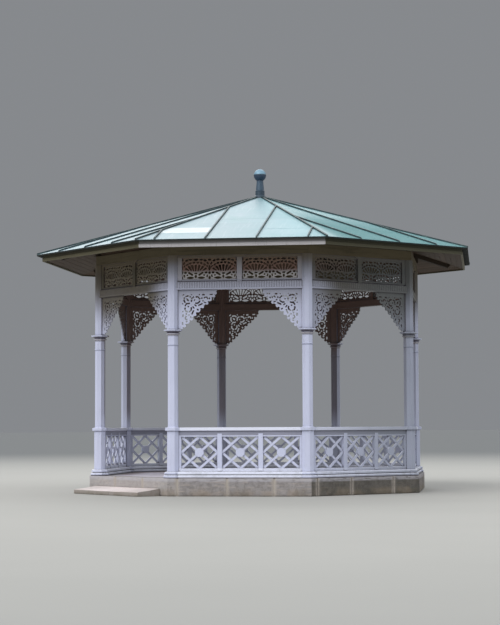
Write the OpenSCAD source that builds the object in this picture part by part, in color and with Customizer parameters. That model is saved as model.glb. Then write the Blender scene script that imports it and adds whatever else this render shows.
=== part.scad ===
// Octagonal timber bandstand on a stone base, with fretwork friezes and brackets,
// lattice balustrades in seven bays and a sheet metal roof. Millimetres.
// The entrance bay faces -Y. The origin is under the middle of the stone base, +Z is up.

/* [Plan] */
// Distance between the centres of neighbouring posts
bay_w = 2700; // [2400:10:3200]

/* [Stone base] */
// Height of the stone kerb above the ground
plinth_h = 355; // [250:5:600]
// How far the kerb stands out beyond the centre line of the posts
plinth_out = 205; // [195:5:320]
// Width of the kerb stones, front to back
kerb_w = 460; // [430:10:700]
// Gap between the kerb and the paved floor
floor_joint = 4; // [2:1:10]
// Height of the entrance step above the ground
step_h = 150; // [100:5:220]
// Tread of the entrance step, front to back
step_run = 550; // [250:10:650]
// How much lower the worn step is at its front edge
step_fall = 62; // [0:2:80]
// How far the step stops short of the corners of the base
step_short = 250; // [0:10:400]

/* [Posts] */
// Width of the post shaft, flat to flat
post_w = 200; // [160:5:215]
// Width of the pedestal below the handrail, flat to flat
pedestal_w = 230; // [220:5:260]
// Width of the lower base moulding of a post
foot_w = 370; // [350:5:380]
// Width of the upper base moulding of a post
foot_upper_w = 336; // [310:5:345]
// Width of the collar round a post at the handrail
collar_w = 306; // [290:5:330]
// Height of the top of the capital above the floor
capital_z = 2957; // [2600:5:3000]
// Width of the top plate of the capital
abacus_w = 350; // [300:5:360]
// Thickness of the top plate of the capital
abacus_h = 30; // [20:2:40]
// Height of the moulding below the top plate
cavetto_h = 62; // [50:2:80]
// Width of the thin ring on the neck of the post
neck_ring_w = 214; // [208:2:260]
// Distance from the neck ring down from the top of the capital
neck_drop = 300; // [200:10:400]

/* [Balustrades] */
// Height of the top of the handrail above the floor
rail_z = 1004; // [900:2:1150]
// Thickness of the handrail
rail_t = 66; // [50:2:80]
// Width of the handrail
rail_w = 150; // [120:5:180]
// Height of the lower base moulding
sill_h = 58; // [45:1:70]
// Width of the lower base moulding in a bay
sill_w = 292; // [260:2:320]
// Height of the hollow between the two base mouldings
sill_gap = 18; // [12:1:25]
// Height of the upper base moulding
sill_upper_h = 51; // [40:1:60]
// Width of the upper base moulding in a bay
sill_upper_w = 256; // [220:2:290]
// Height of the bottom rail over the base mouldings
bottom_rail_h = 64; // [50:2:90]
// Height of the top rail under the handrail
top_rail_h = 116; // [80:2:130]
// Thickness of the rails and uprights of a balustrade
frame_t = 62; // [50:2:80]
// Width of the uprights between two lattice panels
mullion_w = 92; // [70:2:110]
// Width of the uprights against the posts
end_stile_w = 50; // [40:2:70]
// Number of lattice panels in a bay
panels = 3; // [2:1:5]
// Width of a lattice board
lattice_w = 46; // [36:2:66]
// Thickness of a lattice board
lattice_t = 20; // [16:1:30]
// How far the boards are let into each other where they cross
lattice_lap = 8; // [4:1:12]
// Width of the block in the middle of a lattice panel, flat to flat
block_w = 172; // [120:4:200]
// Thickness of the block in the middle of a lattice panel
block_t = 58; // [48:2:70]
// Height of the bead along the rails, above and below the lattice
bead_h = 24; // [16:2:40]
// How far the uprights stand out from the rails, twice as far as the bead
upright_out = 8; // [4:1:12]
// How far the uprights reach over the top rail
mullion_lap = 62; // [40:2:90]

/* [Beams and friezes] */
// Height of the underside of the beams above the floor
beam_z = 3756; // [3600:2:3900]
// Height of a beam
beam_h = 150; // [120:2:200]
// Thickness of a beam
beam_t = 124; // [90:2:140]
// Height of the lip along the bottom of a beam
lip_h = 32; // [20:2:50]
// How far the lip stands out from the beam
lip_out = 8; // [4:1:10]
// Height of the bottom rail of a frieze
frieze_bottom_h = 50; // [40:2:70]
// Clear height of the fretwork in a frieze
fret_h = 441; // [380:1:500]
// Height of the top rail of a frieze
frieze_top_h = 48; // [40:2:70]
// Width of the uprights of a frieze against the posts
frieze_stile_w = 85; // [60:5:100]
// Width of the upright in the middle of a frieze
frieze_mid_w = 100; // [80:5:130]
// Thickness of the upright in the middle of a frieze
frieze_mid_t = 92; // [70:2:110]
// Height of the groove between a beam and the frieze over it
groove_h = 26; // [16:2:40]
// Depth of that groove on each face
groove_depth = 18; // [10:2:28]
// Thickness of the frame of a frieze
frieze_t = 66; // [60:2:78]
// Thickness of the fretwork boards
fret_t = 16; // [12:2:36]
// Number of palmettes in a frieze panel
palmettes = 2; // [1:1:3]
// Width of the block at the head of the middle upright
head_w = 290; // [200:10:340]
// Height of the block at the head of the middle upright
head_h = 40; // [30:2:48]

/* [Brackets] */
// Reach of a bracket along the beam, and down the post
bracket_reach = 802; // [700:2:860]
// Thickness of a bracket
bracket_t = 24; // [20:2:50]

/* [Roof] */
// Slope of the roof in degrees
pitch = 17; // [15:0.5:22]
// Overhang of the roof beyond the centre line of the posts, square to a bay
eaves_out = 1250; // [1000:10:1400]
// Thickness of the sheet metal with the boards that carry it
sheet_t = 28; // [24:1:40]
// Depth of the closed layer of rafters and soffit boards
lining_t = 118; // [90:2:140]
// How far the sheet stands out beyond the fascia
drip_out = 120; // [40:4:160]
// Thickness of the fascia boards
fascia_t = 30; // [22:1:40]
// How far the fascia reaches below the soffit at the eaves
fascia_drop = 32; // [10:1:50]
// Width of the wall plate
plate_w = 164; // [140:2:190]
// Height of the wall plate
plate_h = 190; // [150:5:230]
// Height of the soffit above the wall plate, on the centre line of the plate
soffit_rise = 243; // [180:1:280]
// Thickness of the upright boards between wall plate and soffit
eaves_board_t = 34; // [25:1:45]
// Width of a hip rafter
hip_w = 120; // [100:5:140]
// Depth of the free end of a hip rafter below the soffit
tail_d = 104; // [80:2:120]
// How far a hip rafter stops short of the corner of the fascia
tail_gap = 330; // [20:10:400]
// Width of the post in the middle of the roof, flat to flat
king_w = 300; // [280:10:400]
// Length of that post below the hip rafters
king_drop = 420; // [360:10:600]
// Width of the metal sheets between two standing seams
seam_pitch = 1000; // [900:10:1100]
// Width of a standing seam
seam_w = 24; // [16:1:34]
// Height of a standing seam
seam_h = 34; // [20:1:45]
// Width of the caps on the hips
hip_cap_w = 38; // [28:2:90]

/* [Finial] */
// Diameter of the ball
ball_d = 272; // [220:2:320]
// Height of the whole finial above the tip of the roof
finial_h = 600; // [560:5:700]
// Diameter of the stem where it meets its foot
stem_d = 184; // [160:2:210]

/* [Hidden] */
SIDES = 8;
TURN = 360 / SIDES;
HALF = TURN / 2;
// Clearance between parts that are made separately and fitted side by side
fit = 2;
// Distance from the middle of the plan to the centre line of a bay and to a post
bay_r = bay_w / 2 / tan(HALF);
post_r = bay_w / 2 / sin(HALF);
plinth_r = bay_r + plinth_out;
plinth_side = 2 * plinth_r * tan(HALF);
floor_r = plinth_r - kerb_w - floor_joint;
// Heights, all measured from the floor
sill_top = sill_h + sill_gap + sill_upper_h;
lattice_z = sill_top + bottom_rail_h;
rail_bottom = rail_z - rail_t;
lattice_top = rail_bottom - top_rail_h;
frieze_z = beam_z + beam_h;
fret_z = frieze_z + frieze_bottom_h;
fret_top = fret_z + fret_h;
post_top = fret_top + frieze_top_h;
plate_top = post_top + plate_h;
// Clear widths between the posts
clear_upper = bay_w - post_w;
clear_lower = bay_w - pedestal_w;
lattice_room = clear_lower - 2 * end_stile_w - (panels - 1) * mullion_w;
lattice_panel_w = lattice_room / panels;
fret_w = (clear_upper - 2 * frieze_stile_w - frieze_mid_w) / 2;
palmette_w = fret_w / palmettes;
// Roof: the slope seen square to a bay, and along a hip
slope = tan(pitch);
hip_slope = slope * cos(HALF);
eaves_r = bay_r + eaves_out;
sheet_v = sheet_t / cos(pitch);
lining_v = lining_t / cos(pitch);
fascia_r = eaves_r - drip_out;
// The soffit meets the top of the eaves boards at this height over the bay line
soffit_bay_z = plate_top + soffit_rise;
soffit_tip = soffit_bay_z + bay_r * slope;
roof_tip = soffit_tip + lining_v + sheet_v;
// More than any size in plan, for cutting pieces to length
FAR = 3 * eaves_r;
paint = [0.78, 0.80, 0.88];
shade_paint = [0.44, 0.38, 0.36];
stone = [0.55, 0.52, 0.49];
paving = [0.62, 0.61, 0.64];
metal = [0.70, 0.80, 0.79];
seam_metal = [0.36, 0.45, 0.47];
ball_metal = [0.25, 0.33, 0.38];

// Puts its children at the bay that is n turns on from the entrance bay
module at_bay(n) {
    rotate([0, 0, n * TURN])
        children();
}

// Regular octagon with flats square to the bays, w from flat to flat
module octagon(w) {
    rotate(HALF)
        circle(d = w / cos(HALF), $fn = SIDES);
}

module octagon_block(w, z, h) {
    translate([0, 0, z])
        linear_extrude(h)
            octagon(w);
}

// Octagonal piece whose outline follows a list of [half width, height] points
module octagon_turned(outline) {
    reach = 4 * max([for (p = outline) p[0]]);
    intersection_for(i = [0:SIDES / 2 - 1])
        rotate([90, 0, i * TURN])
            linear_extrude(reach, center = true)
                polygon(closed(outline));
}

// Closes a list of [half width, height] points into a shape that is the same on both sides
function closed(outline) = concat(outline,
    [for (i = [len(outline) - 1:-1:0]) [-outline[i][0], outline[i][1]]]);

// Piece along a bay with a moulded section, scribed to posts that are post_side wide there
module bay_moulding(outline, post_side) {
    low = outline[0][1];
    high = outline[len(outline) - 1][1];
    translate([0, -bay_r, 0])
        difference() {
            rotate([90, 0, 90])
                linear_extrude(bay_w, center = true)
                    polygon(closed(outline));
            for (side = [-1, 1])
                translate([side * bay_w / 2, 0, 0])
                    octagon_block(post_side, low - fit, high - low + 2 * fit);
        }
}

// Plain bar along a bay, w long in the middle of it
module bay_bar(w, t, z, h) {
    translate([-w / 2, -bay_r - t / 2, z])
        cube([w, t, h]);
}

// Upright part in a bay: x is along the bay from its middle
module upright(x, w, t, z, h) {
    translate([x - w / 2, -bay_r - t / 2, z])
        cube([w, t, h]);
}

// Sets a flat shape upright in a bay, t thick, in the middle of the bay's thickness
module standing(t) {
    translate([0, -bay_r + t / 2, 0])
        rotate([90, 0, 0])
            linear_extrude(t)
                children();
}

// One side of a ring, mitred at the hips, from a section in [distance from the middle, height]
module ring_side(section) {
    intersection() {
        rotate([90, 0, 90])
            linear_extrude(FAR, center = true)
                polygon([for (p = section) [-p[0], p[1]]]);
        linear_extrude(2 * FAR, center = true)
            polygon([[0, -fit / 2 / sin(HALF)],
                [FAR * tan(HALF), -FAR - fit / 2 / sin(HALF)],
                [-FAR * tan(HALF), -FAR - fit / 2 / sin(HALF)]]);
    }
}

module ring(section) {
    for (n = [0:SIDES - 1])
        at_bay(n)
            ring_side(section);
}

// Solid octagonal pyramid whose tip is at height tip, down to the height base
module pyramid(tip, base) {
    reach = (tip - base) / slope;
    intersection_for(i = [0:SIDES / 2 - 1])
        rotate([90, 0, i * TURN])
            linear_extrude(FAR, center = true)
                polygon([[-reach, base], [reach, base], [0, tip]]);
}

// Stone base

module stone_plinth() {
    color(stone)
        difference() {
            octagon_block(2 * plinth_r, 0, plinth_h);
            octagon_block(2 * (plinth_r - kerb_w), -1, plinth_h + 2);
        }
}

module paved_floor() {
    color(paving)
        octagon_block(2 * floor_r, 0, plinth_h);
}

module entrance_step() {
    color(stone)
        translate([0, -plinth_r, 0])
            rotate([90, 0, 90])
                linear_extrude(plinth_side - 2 * step_short, center = true)
                    polygon([[-step_run, 0], [0, 0], [0, step_h],
                        [14 - step_run, step_h - step_fall],
                        [-step_run, step_h - step_fall - 12]]);
}

// Posts

// Sections of the mouldings that run round the posts and along the bays, w wide over all
function foot_outline(w) = [[w / 2 - 10, 0], [w / 2, 10], [w / 2, sill_h - 14], [w / 2 - 12, sill_h]];
function upper_outline(w) = [[w / 2, sill_h + sill_gap], [w / 2, sill_top - 16],
    [w / 2 - 24, sill_top]];
function rail_outline(w) = [[w / 2 - 8, rail_bottom], [w / 2, rail_bottom + 8],
    [w / 2, rail_z - 12], [w / 2 - 14, rail_z]];

// Mouldings under the beams: neck ring, torus and capital, each running into the shaft
module capital() {
    core = post_w / 2 - 6;
    neck_z = capital_z - neck_drop;
    abacus_z = capital_z - abacus_h;
    torus_z = abacus_z - cavetto_h;
    torus = post_w / 2 + 28;
    octagon_turned([[core, neck_z - 16], [neck_ring_w / 2, neck_z - 6],
        [neck_ring_w / 2, neck_z + 6], [core, neck_z + 16]]);
    octagon_turned([[torus - 16, torus_z - 8], [torus - 4, torus_z - 3], [torus, torus_z + 8],
        [torus - 6, torus_z + 20], [core, torus_z + 32]]);
    octagon_turned([[core, abacus_z - 44], [post_w / 2 + 10, abacus_z - 30],
        [post_w / 2 + 24, abacus_z - 14], [abacus_w / 2 - 14, abacus_z + 4]]);
    octagon_turned([[abacus_w / 2 - 8, abacus_z], [abacus_w / 2, abacus_z + 8],
        [abacus_w / 2, capital_z - 5], [abacus_w / 2 - 8, capital_z]]);
}

module post(n) {
    color(paint)
        at_bay(n)
            translate([bay_w / 2, -bay_r, plinth_h])
                union() {
                    octagon_block(pedestal_w, 0, rail_z - rail_t / 2);
                    octagon_block(post_w, 0, post_top);
                    octagon_turned(foot_outline(foot_w));
                    octagon_block(foot_w - 72, sill_h - fit, sill_gap + 2 * fit);
                    octagon_turned(upper_outline(foot_upper_w));
                    octagon_turned(rail_outline(collar_w));
                    octagon_turned([[post_w / 2 + 14, rail_z - fit], [post_w / 2 - 6, rail_z + 26]]);
                    capital();
                }
}

// Balustrades

// Flat shape of the boards in one lattice panel that lean one way, about its middle
module lattice_flat(lean) {
    w = lattice_panel_w + 2 * fit;
    h = lattice_top - lattice_z + 2 * fit;
    reach = 2 * norm([w, h]);
    intersection() {
        square([w, h], center = true);
        for (place = [-1:1])
            translate([-lean * place * w / 4, place * h / 4])
                rotate(lean * atan2(h, w))
                    square([reach, lattice_w], center = true);
    }
}

module balustrade(n) {
    first = -clear_lower / 2 + end_stile_w + lattice_panel_w / 2;
    step = lattice_panel_w + mullion_w;
    mid_h = (lattice_top + lattice_z) / 2;
    color(paint)
        at_bay(n)
            translate([0, 0, plinth_h])
                union() {
                    bay_moulding(foot_outline(sill_w), foot_w);
                    bay_moulding([[sill_w / 2 - 36, sill_h - fit],
                        [sill_w / 2 - 36, sill_h + sill_gap + fit]], foot_w - 72);
                    bay_moulding(upper_outline(sill_upper_w), foot_upper_w);
                    bay_moulding(rail_outline(rail_w), collar_w);
                    bay_bar(clear_lower, frame_t, sill_top, bottom_rail_h);
                    bay_bar(clear_lower, frame_t, lattice_top, top_rail_h);
                    for (side = [-1, 1])
                        upright(side * (clear_lower - end_stile_w) / 2, end_stile_w, frame_t,
                            lattice_z, lattice_top - lattice_z);
                    for (i = [1:panels - 1])
                        upright(first + (i - 0.5) * step, mullion_w, frame_t + 2 * upright_out,
                            lattice_z - 2 * bead_h,
                            lattice_top + mullion_lap - lattice_z + 2 * bead_h);
                    for (z = [lattice_z - bead_h, lattice_top])
                        bay_bar(clear_lower, frame_t + upright_out, z, bead_h);
                    for (lean = [-1, 1])
                        translate([0, -lean * (lattice_t - lattice_lap) / 2, 0])
                            standing(lattice_t)
                                for (i = [0:panels - 1])
                                    translate([first + i * step, mid_h])
                                        lattice_flat(lean);
                    standing(block_t)
                        for (i = [0:panels - 1])
                            translate([first + i * step, mid_h])
                                octagon(block_w);
                }
}

// Fretwork shapes, all cut through a board

// Pointed leaf of length l and width w about the origin, lying along X
module leaf(l, w) {
    r = (l * l + w * w) / w / 4;
    intersection_for(side = [-1, 1])
        translate([0, side * (r - w / 2)])
            circle(r, $fn = 60);
}

// Straight slot of length l and width w along X, with a drilled hole at each end
module slot(l, w) {
    square([l - w, w], center = true);
    for (end = [-1, 1])
        translate([end * (l - w) / 2, 0])
            circle(d = 1.1 * w, $fn = 24);
}

// Slot of width w along a circle of radius r from angle a to angle b, drilled at its ends
module arc_slot(r, w, a, b) {
    intersection() {
        difference() {
            circle(r + w / 2, $fn = 60);
            circle(r - w / 2, $fn = 60);
        }
        polygon(concat([[0, 0]],
            [for (i = [0:3]) 2 * r * [cos(a + (b - a) * i / 3), sin(a + (b - a) * i / 3)]]));
    }
    for (end = [a, b])
        rotate(end)
            translate([r, 0])
                circle(d = 1.1 * w, $fn = 24);
}

module hole(d) {
    circle(d = d, $fn = 24);
}

// Puts a flat shape on both sides of the axis of a motif
module both_sides() {
    for (side = [0, 1])
        mirror([side, 0])
            children();
}

// Opening that widens from point a, w / 2 across, to point b, w across
module petal(a, b, w) {
    l = norm(b - a);
    translate(a)
        rotate(atan2(b[1] - a[1], b[0] - a[0])) {
            polygon([[0, -w / 4], [l, -w / 2], [l, w / 2], [0, w / 4]]);
            circle(d = w / 2, $fn = 24);
            translate([l, 0])
                circle(d = w, $fn = 30);
        }
}

// Openings of one palmette of a frieze. Steps across are hundredths of its width, steps up are
// hundredths of the height of the panel.
module palmette() {
    p = palmette_w / 100;
    q = fret_h / 100;
    translate([0, 14 * q])
        rotate(90)
            leaf(13 * p, 8.4 * p);
    translate([0, 28 * q])
        slot(11 * p, 5.6 * p);
    petal([0, 40 * q], [0, 63 * q], 9.6 * p);
    translate([0, 90.5 * q])
        leaf(21 * p, 8.4 * p);
    both_sides() {
        translate([19.8 * p, 8.5 * q])
            leaf(29.4 * p, 9 * p);
        translate([18.6 * p, 26.5 * q])
            rotate(32)
                slot(20 * p, 7 * p);
        translate([30.5 * p, 20.5 * q])
            hole(6.6 * p);
        translate([37.4 * p, 32 * q])
            slot(9.6 * p, 7 * p);
        translate([41.6 * p, 16.6 * q])
            rotate(76)
                slot(10 * p, 5.4 * p);
        petal([8 * p, 41 * q], [12.8 * p, 62 * q], 9.4 * p);
        petal([16.4 * p, 43.4 * q], [25 * p, 58 * q], 9 * p);
        petal([26 * p, 42.6 * q], [36 * p, 50 * q], 8 * p);
        translate([6.8 * p, 77.6 * q])
            rotate(-7)
                leaf(11 * p, 8 * p);
        translate([19.8 * p, 75 * q])
            rotate(-20)
                leaf(12 * p, 8 * p);
        translate([31.6 * p, 68.6 * q])
            rotate(-38)
                leaf(12 * p, 7.6 * p);
        translate([41.2 * p, 61 * q])
            rotate(-60)
                leaf(10 * p, 5.6 * p);
        translate([19.6 * p, 91 * q])
            leaf(14 * p, 7.6 * p);
        translate([33.4 * p, 87.4 * q])
            rotate(-16)
                leaf(13 * p, 8.4 * p);
        translate([43.2 * p, 74.4 * q])
            rotate(116)
                leaf(13 * p, 7.4 * p);
    }
}

// Openings between two palmettes, and cut in half by the frame at the ends of a panel
module palmette_link() {
    p = palmette_w / 100;
    q = fret_h / 100;
    translate([0, 9.5 * q])
        rotate(90)
            leaf(13 * p, 9 * p);
    translate([0, 31 * q])
        hole(10 * p);
    translate([0, 54 * q])
        rotate(90)
            leaf(23 * p, 9 * p);
    translate([0, 90 * q])
        leaf(13 * p, 8.4 * p);
}

module frieze_fret_flat() {
    difference() {
        translate([-fit, -fit])
            square([fret_w + 2 * fit, fret_h + 2 * fit]);
        for (i = [0:palmettes - 1])
            translate([(i + 0.5) * palmette_w, 0])
                palmette();
        for (i = [1:palmettes - 1])
            translate([i * palmette_w, 0])
                palmette_link();
        for (x = [-2 * fit, fret_w + 2 * fit])
            translate([x, 0])
                palmette_link();
    }
}

module frieze(n) {
    head_z = post_top - head_h;
    color(paint)
        at_bay(n)
            translate([0, 0, plinth_h])
                union() {
                    bay_moulding([[beam_t / 2, beam_z], [beam_t / 2, frieze_z]], post_w);
                    bay_moulding([[beam_t / 2 + lip_out, beam_z],
                        [beam_t / 2 + lip_out, beam_z + lip_h]], post_w);
                    bay_bar(clear_upper, frieze_t - 2 * groove_depth, frieze_z, groove_h);
                    bay_bar(clear_upper, frieze_t, frieze_z + groove_h,
                        frieze_bottom_h - groove_h);
                    bay_bar(clear_upper, frieze_t, fret_top, frieze_top_h);
                    for (side = [-1, 1])
                        upright(side * (clear_upper - frieze_stile_w) / 2, frieze_stile_w, frieze_t,
                            fret_z, fret_h);
                    upright(0, frieze_mid_w, frieze_mid_t, frieze_z, post_top - frieze_z);
                    standing(beam_t)
                        translate([0, head_z])
                            polygon([[-head_w / 2, head_h], [head_w / 2, head_h],
                                [frieze_mid_w / 2 + 20, 0], [-frieze_mid_w / 2 - 20, 0]]);
                    standing(fret_t)
                        for (side = [-1, 1])
                            translate([side * (frieze_mid_w + fret_w) / 2 - fret_w / 2, fret_z])
                                frieze_fret_flat();
                }
}

// Repeats a flat shape mirrored about the diagonal of a bracket. Its corner at the post and
// the beam is the origin, X runs along the beam and -Y down the post.
module both_ways() {
    children();
    mirror([1, 1, 0])
        children();
}

// Solid outline of a bracket, scalloped along its free edge
module bracket_outline() {
    p = bracket_reach / 100;
    edge = [[100, 0], [97.5, -4], [94.5, -9], [90.3, -16.6], [79.2, -23.3], [73.2, -34],
        [62.2, -42.9], [50.5, -50.5]];
    polygon(p * concat([[0, 0]], edge, [for (i = [len(edge) - 2:-1:0]) [-edge[i][1], -edge[i][0]]]));
    for (i = [2:len(edge) - 1])
        both_ways()
            translate(p * edge[i])
                circle((i == 4 || i == 7 ? 6.3 : 3.7) * p, $fn = 36);
}

// Openings of a bracket, in hundredths of its reach
module bracket_openings() {
    p = bracket_reach / 100;
    translate([25 * p, -25 * p])
        rotate(-45)
            leaf(9.6 * p, 4.8 * p);
    translate([13.6 * p, -13.6 * p])
        rotate(45)
            slot(6 * p, 3.2 * p);
    translate([50.3 * p, -50.3 * p])
        rotate(-45)
            leaf(6.4 * p, 4.2 * p);
    both_ways() {
        translate([25 * p, -25 * p]) {
            arc_slot(9.4 * p, 4.1 * p, 51, 116);
            arc_slot(10 * p, 3.8 * p, -22, 16);
        }
        translate([37.4 * p, -20.2 * p])
            rotate(32)
                slot(9.4 * p, 3.6 * p);
        translate([47.6 * p, -26.3 * p]) {
            arc_slot(8.2 * p, 4 * p, 22, 98);
            arc_slot(7.8 * p, 3.8 * p, -106, -22);
            translate([-5.4 * p, 0])
                hole(4 * p);
        }
        translate([35 * p, -12.6 * p])
            hole(3.4 * p);
        translate([54.4 * p, -12.6 * p])
            hole(3.2 * p);
        translate([64.8 * p, -13 * p])
            slot(7 * p, 3.8 * p);
        translate([84 * p, -12.2 * p])
            slot(8 * p, 3.4 * p);
        translate([60.6 * p, -21.4 * p])
            hole(4.4 * p);
        translate([63.4 * p, -28 * p])
            hole(4 * p);
        translate([70.7 * p, -22.8 * p])
            arc_slot(4.1 * p, 3.6 * p, 5, 150);
        translate([68.6 * p, -32.6 * p])
            rotate(-22)
                slot(6.6 * p, 2.8 * p);
        translate([57 * p, -37.4 * p])
            rotate(24)
                slot(12 * p, 3.8 * p);
        translate([44.4 * p, -39.4 * p])
            rotate(-38)
                slot(7 * p, 3.2 * p);
        translate([79.6 * p, -22.2 * p])
            rotate(72)
                leaf(6 * p, 3.8 * p);
    }
}

module bracket_flat() {
    difference() {
        bracket_outline();
        bracket_openings();
    }
}

module brackets(n) {
    color(paint)
        at_bay(n)
            translate([0, 0, plinth_h])
                for (side = [0, 1])
                    mirror([side, 0, 0])
                        standing(bracket_t)
                            translate([-clear_upper / 2, beam_z])
                                bracket_flat();
}

// Roof

module wall_plate() {
    color(paint)
        translate([0, 0, plinth_h])
            ring([[bay_r - plate_w / 2, post_top], [bay_r + plate_w / 2, post_top],
                [bay_r + plate_w / 2, plate_top], [bay_r - plate_w / 2, plate_top]]);
}

// Height of the soffit at a distance from the middle, square to a bay
function soffit_z(r) = soffit_tip - r * slope;

module eaves_boards() {
    inner = bay_r - eaves_board_t / 2;
    outer = bay_r + eaves_board_t / 2;
    color(shade_paint)
        translate([0, 0, plinth_h])
            difference() {
                ring([[inner, plate_top], [outer, plate_top],
                    [outer, soffit_z(outer)], [inner, soffit_z(inner)]]);
                for (n = [0:SIDES - 1])
                    rotate([0, 0, (n + 0.5) * TURN])
                        translate([-hip_w / 2 - fit, -2 * post_r, plate_top - fit])
                            cube([hip_w + 2 * fit, 2 * post_r, FAR]);
            }
}

module hip_rafter_side() {
    seat_in = post_r - plate_w / 2 / cos(HALF) - 10;
    seat_out = post_r + plate_w / 2 / cos(HALF) + 10;
    inner_d = soffit_z(bay_r) - plate_top;
    tail_end = (fascia_r - fascia_t) / cos(HALF) - tail_gap;
    king = king_w / 2;
    function under(r, d) = soffit_tip - r * hip_slope - d;
    rotate([90, 0, 90])
        translate([0, 0, -hip_w / 2])
            linear_extrude(hip_w)
                polygon([for (p = [[king, under(king, -60)], [tail_end, under(tail_end, -60)],
                    [tail_end, under(tail_end, 30)],
                    [tail_end - 50, under(tail_end - 50, tail_d)],
                    [seat_out, under(seat_out, tail_d)],
                    [seat_out, plate_top], [seat_in, plate_top],
                    [king, under(king, inner_d)]]) [-p[0], p[1]]]);
}

module hip_rafters() {
    color(shade_paint)
        translate([0, 0, plinth_h])
            intersection() {
                for (n = [0:SIDES - 1])
                    rotate([0, 0, (n + 0.5) * TURN])
                        hip_rafter_side();
                pyramid(soffit_tip, 0);
            }
}

module king_post() {
    low = soffit_tip - king_w / 2 * hip_slope - king_drop;
    neck = king_w / 2 - 50;
    color(shade_paint)
        translate([0, 0, plinth_h])
            intersection() {
                rotate(HALF)
                    octagon_turned([[neck - 50, low - 90], [neck, low - 60], [neck - 26, low - 20],
                        [neck, low], [king_w / 2, low + 30], [king_w / 2, soffit_tip]]);
                pyramid(soffit_tip, 0);
            }
}

module roof_lining() {
    outer = fascia_r - fascia_t;
    inner_top = soffit_tip + lining_v;
    color(shade_paint)
        translate([0, 0, plinth_h])
            ring([[0, soffit_tip], [outer, soffit_z(outer)],
                [outer, soffit_z(outer) + lining_v], [0, inner_top]]);
}

module fascia() {
    inner = fascia_r - fascia_t;
    low = soffit_z(inner) - fascia_drop;
    color(paint)
        translate([0, 0, plinth_h])
            ring([[inner, low], [fascia_r, low],
                [fascia_r, soffit_z(fascia_r) + lining_v],
                [inner, soffit_z(inner) + lining_v]]);
}

module roof_sheets() {
    low = soffit_tip + lining_v;
    color(metal)
        translate([0, 0, plinth_h])
            ring([[0, low], [eaves_r, low - eaves_r * slope],
                [eaves_r, roof_tip - eaves_r * slope], [0, roof_tip]]);
}

// One standing seam at a distance x from the middle of its side of the roof
module seam(x) {
    top_r = max(abs(x) / tan(HALF), 120);
    function on_roof(r, up) = [-r, roof_tip - r * slope + up];
    rotate([90, 0, 90])
        translate([0, 0, x - seam_w / 2])
            linear_extrude(seam_w)
                polygon([on_roof(top_r, 0), on_roof(eaves_r, 0), on_roof(eaves_r, seam_h * 0.6),
                    on_roof(eaves_r - 40, seam_h), on_roof(top_r, seam_h)]);
}

module hip_cap() {
    top_r = 120 / cos(HALF);
    low_r = eaves_r / cos(HALF);
    up = 30;
    function on_hip(r, z) = [-r, roof_tip - r * hip_slope + z];
    rotate([90, 0, 90])
        translate([0, 0, -hip_cap_w / 2])
            linear_extrude(hip_cap_w)
                polygon([on_hip(top_r, -hip_cap_w / 2 * slope), on_hip(low_r, -hip_cap_w / 2 * slope),
                    on_hip(low_r, up), on_hip(top_r, up)]);
}

module roof_seams() {
    color(seam_metal)
        translate([0, 0, plinth_h])
            difference() {
                union() {
                    for (n = [0:SIDES - 1]) {
                        at_bay(n)
                            for (x = n % 2 == 0 ? [-1:1] : [-1.5:1.5])
                                seam(x * seam_pitch);
                        rotate([0, 0, (n + 0.5) * TURN])
                            hip_cap();
                    }
                }
                pyramid(roof_tip, 0);
            }
}

module finial() {
    ball_z = finial_h - ball_d / 2;
    color(ball_metal)
        translate([0, 0, plinth_h + roof_tip])
            rotate_extrude($fn = 48)
                union() {
                    difference() {
                        translate([0, ball_z])
                            circle(d = ball_d, $fn = 48);
                        translate([-ball_d, 0])
                            square([ball_d, 2 * finial_h]);
                    }
                    polygon([[0, -50], [150, -40], [120, 0], [108, 24], [108, 46], [stem_d / 2, 52],
                        [stem_d / 2 - 8, 200], [stem_d / 2 - 18, ball_z - ball_d / 2 + 20],
                        [0, ball_z - ball_d / 2 + 30]]);
                }
}

stone_plinth();
paved_floor();  // floor
entrance_step();
for (i = [1:SIDES]) {
    post(i - 1);
    frieze(i - 1);
    brackets(i - 1);
    if (i < SIDES)
        balustrade(i);
}
wall_plate();
eaves_boards();
hip_rafters();
king_post();
roof_lining();
fascia();
roof_sheets();
roof_seams();
finial();
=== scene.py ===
import math
import random

import bmesh
import bpy
from mathutils import Matrix, Vector, noise


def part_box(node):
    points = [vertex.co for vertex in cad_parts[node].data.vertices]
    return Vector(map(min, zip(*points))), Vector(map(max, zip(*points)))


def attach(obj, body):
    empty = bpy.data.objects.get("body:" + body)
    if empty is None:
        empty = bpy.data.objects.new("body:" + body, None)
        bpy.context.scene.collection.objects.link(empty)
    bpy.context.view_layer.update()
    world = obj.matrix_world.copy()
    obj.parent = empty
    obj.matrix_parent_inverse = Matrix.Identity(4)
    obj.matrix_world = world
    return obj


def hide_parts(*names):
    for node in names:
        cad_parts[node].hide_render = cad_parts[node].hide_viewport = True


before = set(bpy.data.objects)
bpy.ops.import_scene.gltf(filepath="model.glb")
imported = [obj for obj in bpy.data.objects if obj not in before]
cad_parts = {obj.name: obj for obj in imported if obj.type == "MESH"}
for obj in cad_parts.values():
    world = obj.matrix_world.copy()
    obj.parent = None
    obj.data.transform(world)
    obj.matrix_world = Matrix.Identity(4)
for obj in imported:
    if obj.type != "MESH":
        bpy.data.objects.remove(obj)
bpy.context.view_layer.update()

bl_info = {
    "name": "Octagonal bandstand",
    "version": (1, 0, 0),
    "blender": (4, 5, 0),
    "location": "View3D > Sidebar > Bandstand",
    "description": "Stones, boards, metal and paint of an octagonal timber bandstand",
    "category": "Add Mesh",
}

SIDES = 8
TURN = math.tau / SIDES
HIP = math.tan(TURN / 2)

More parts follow.
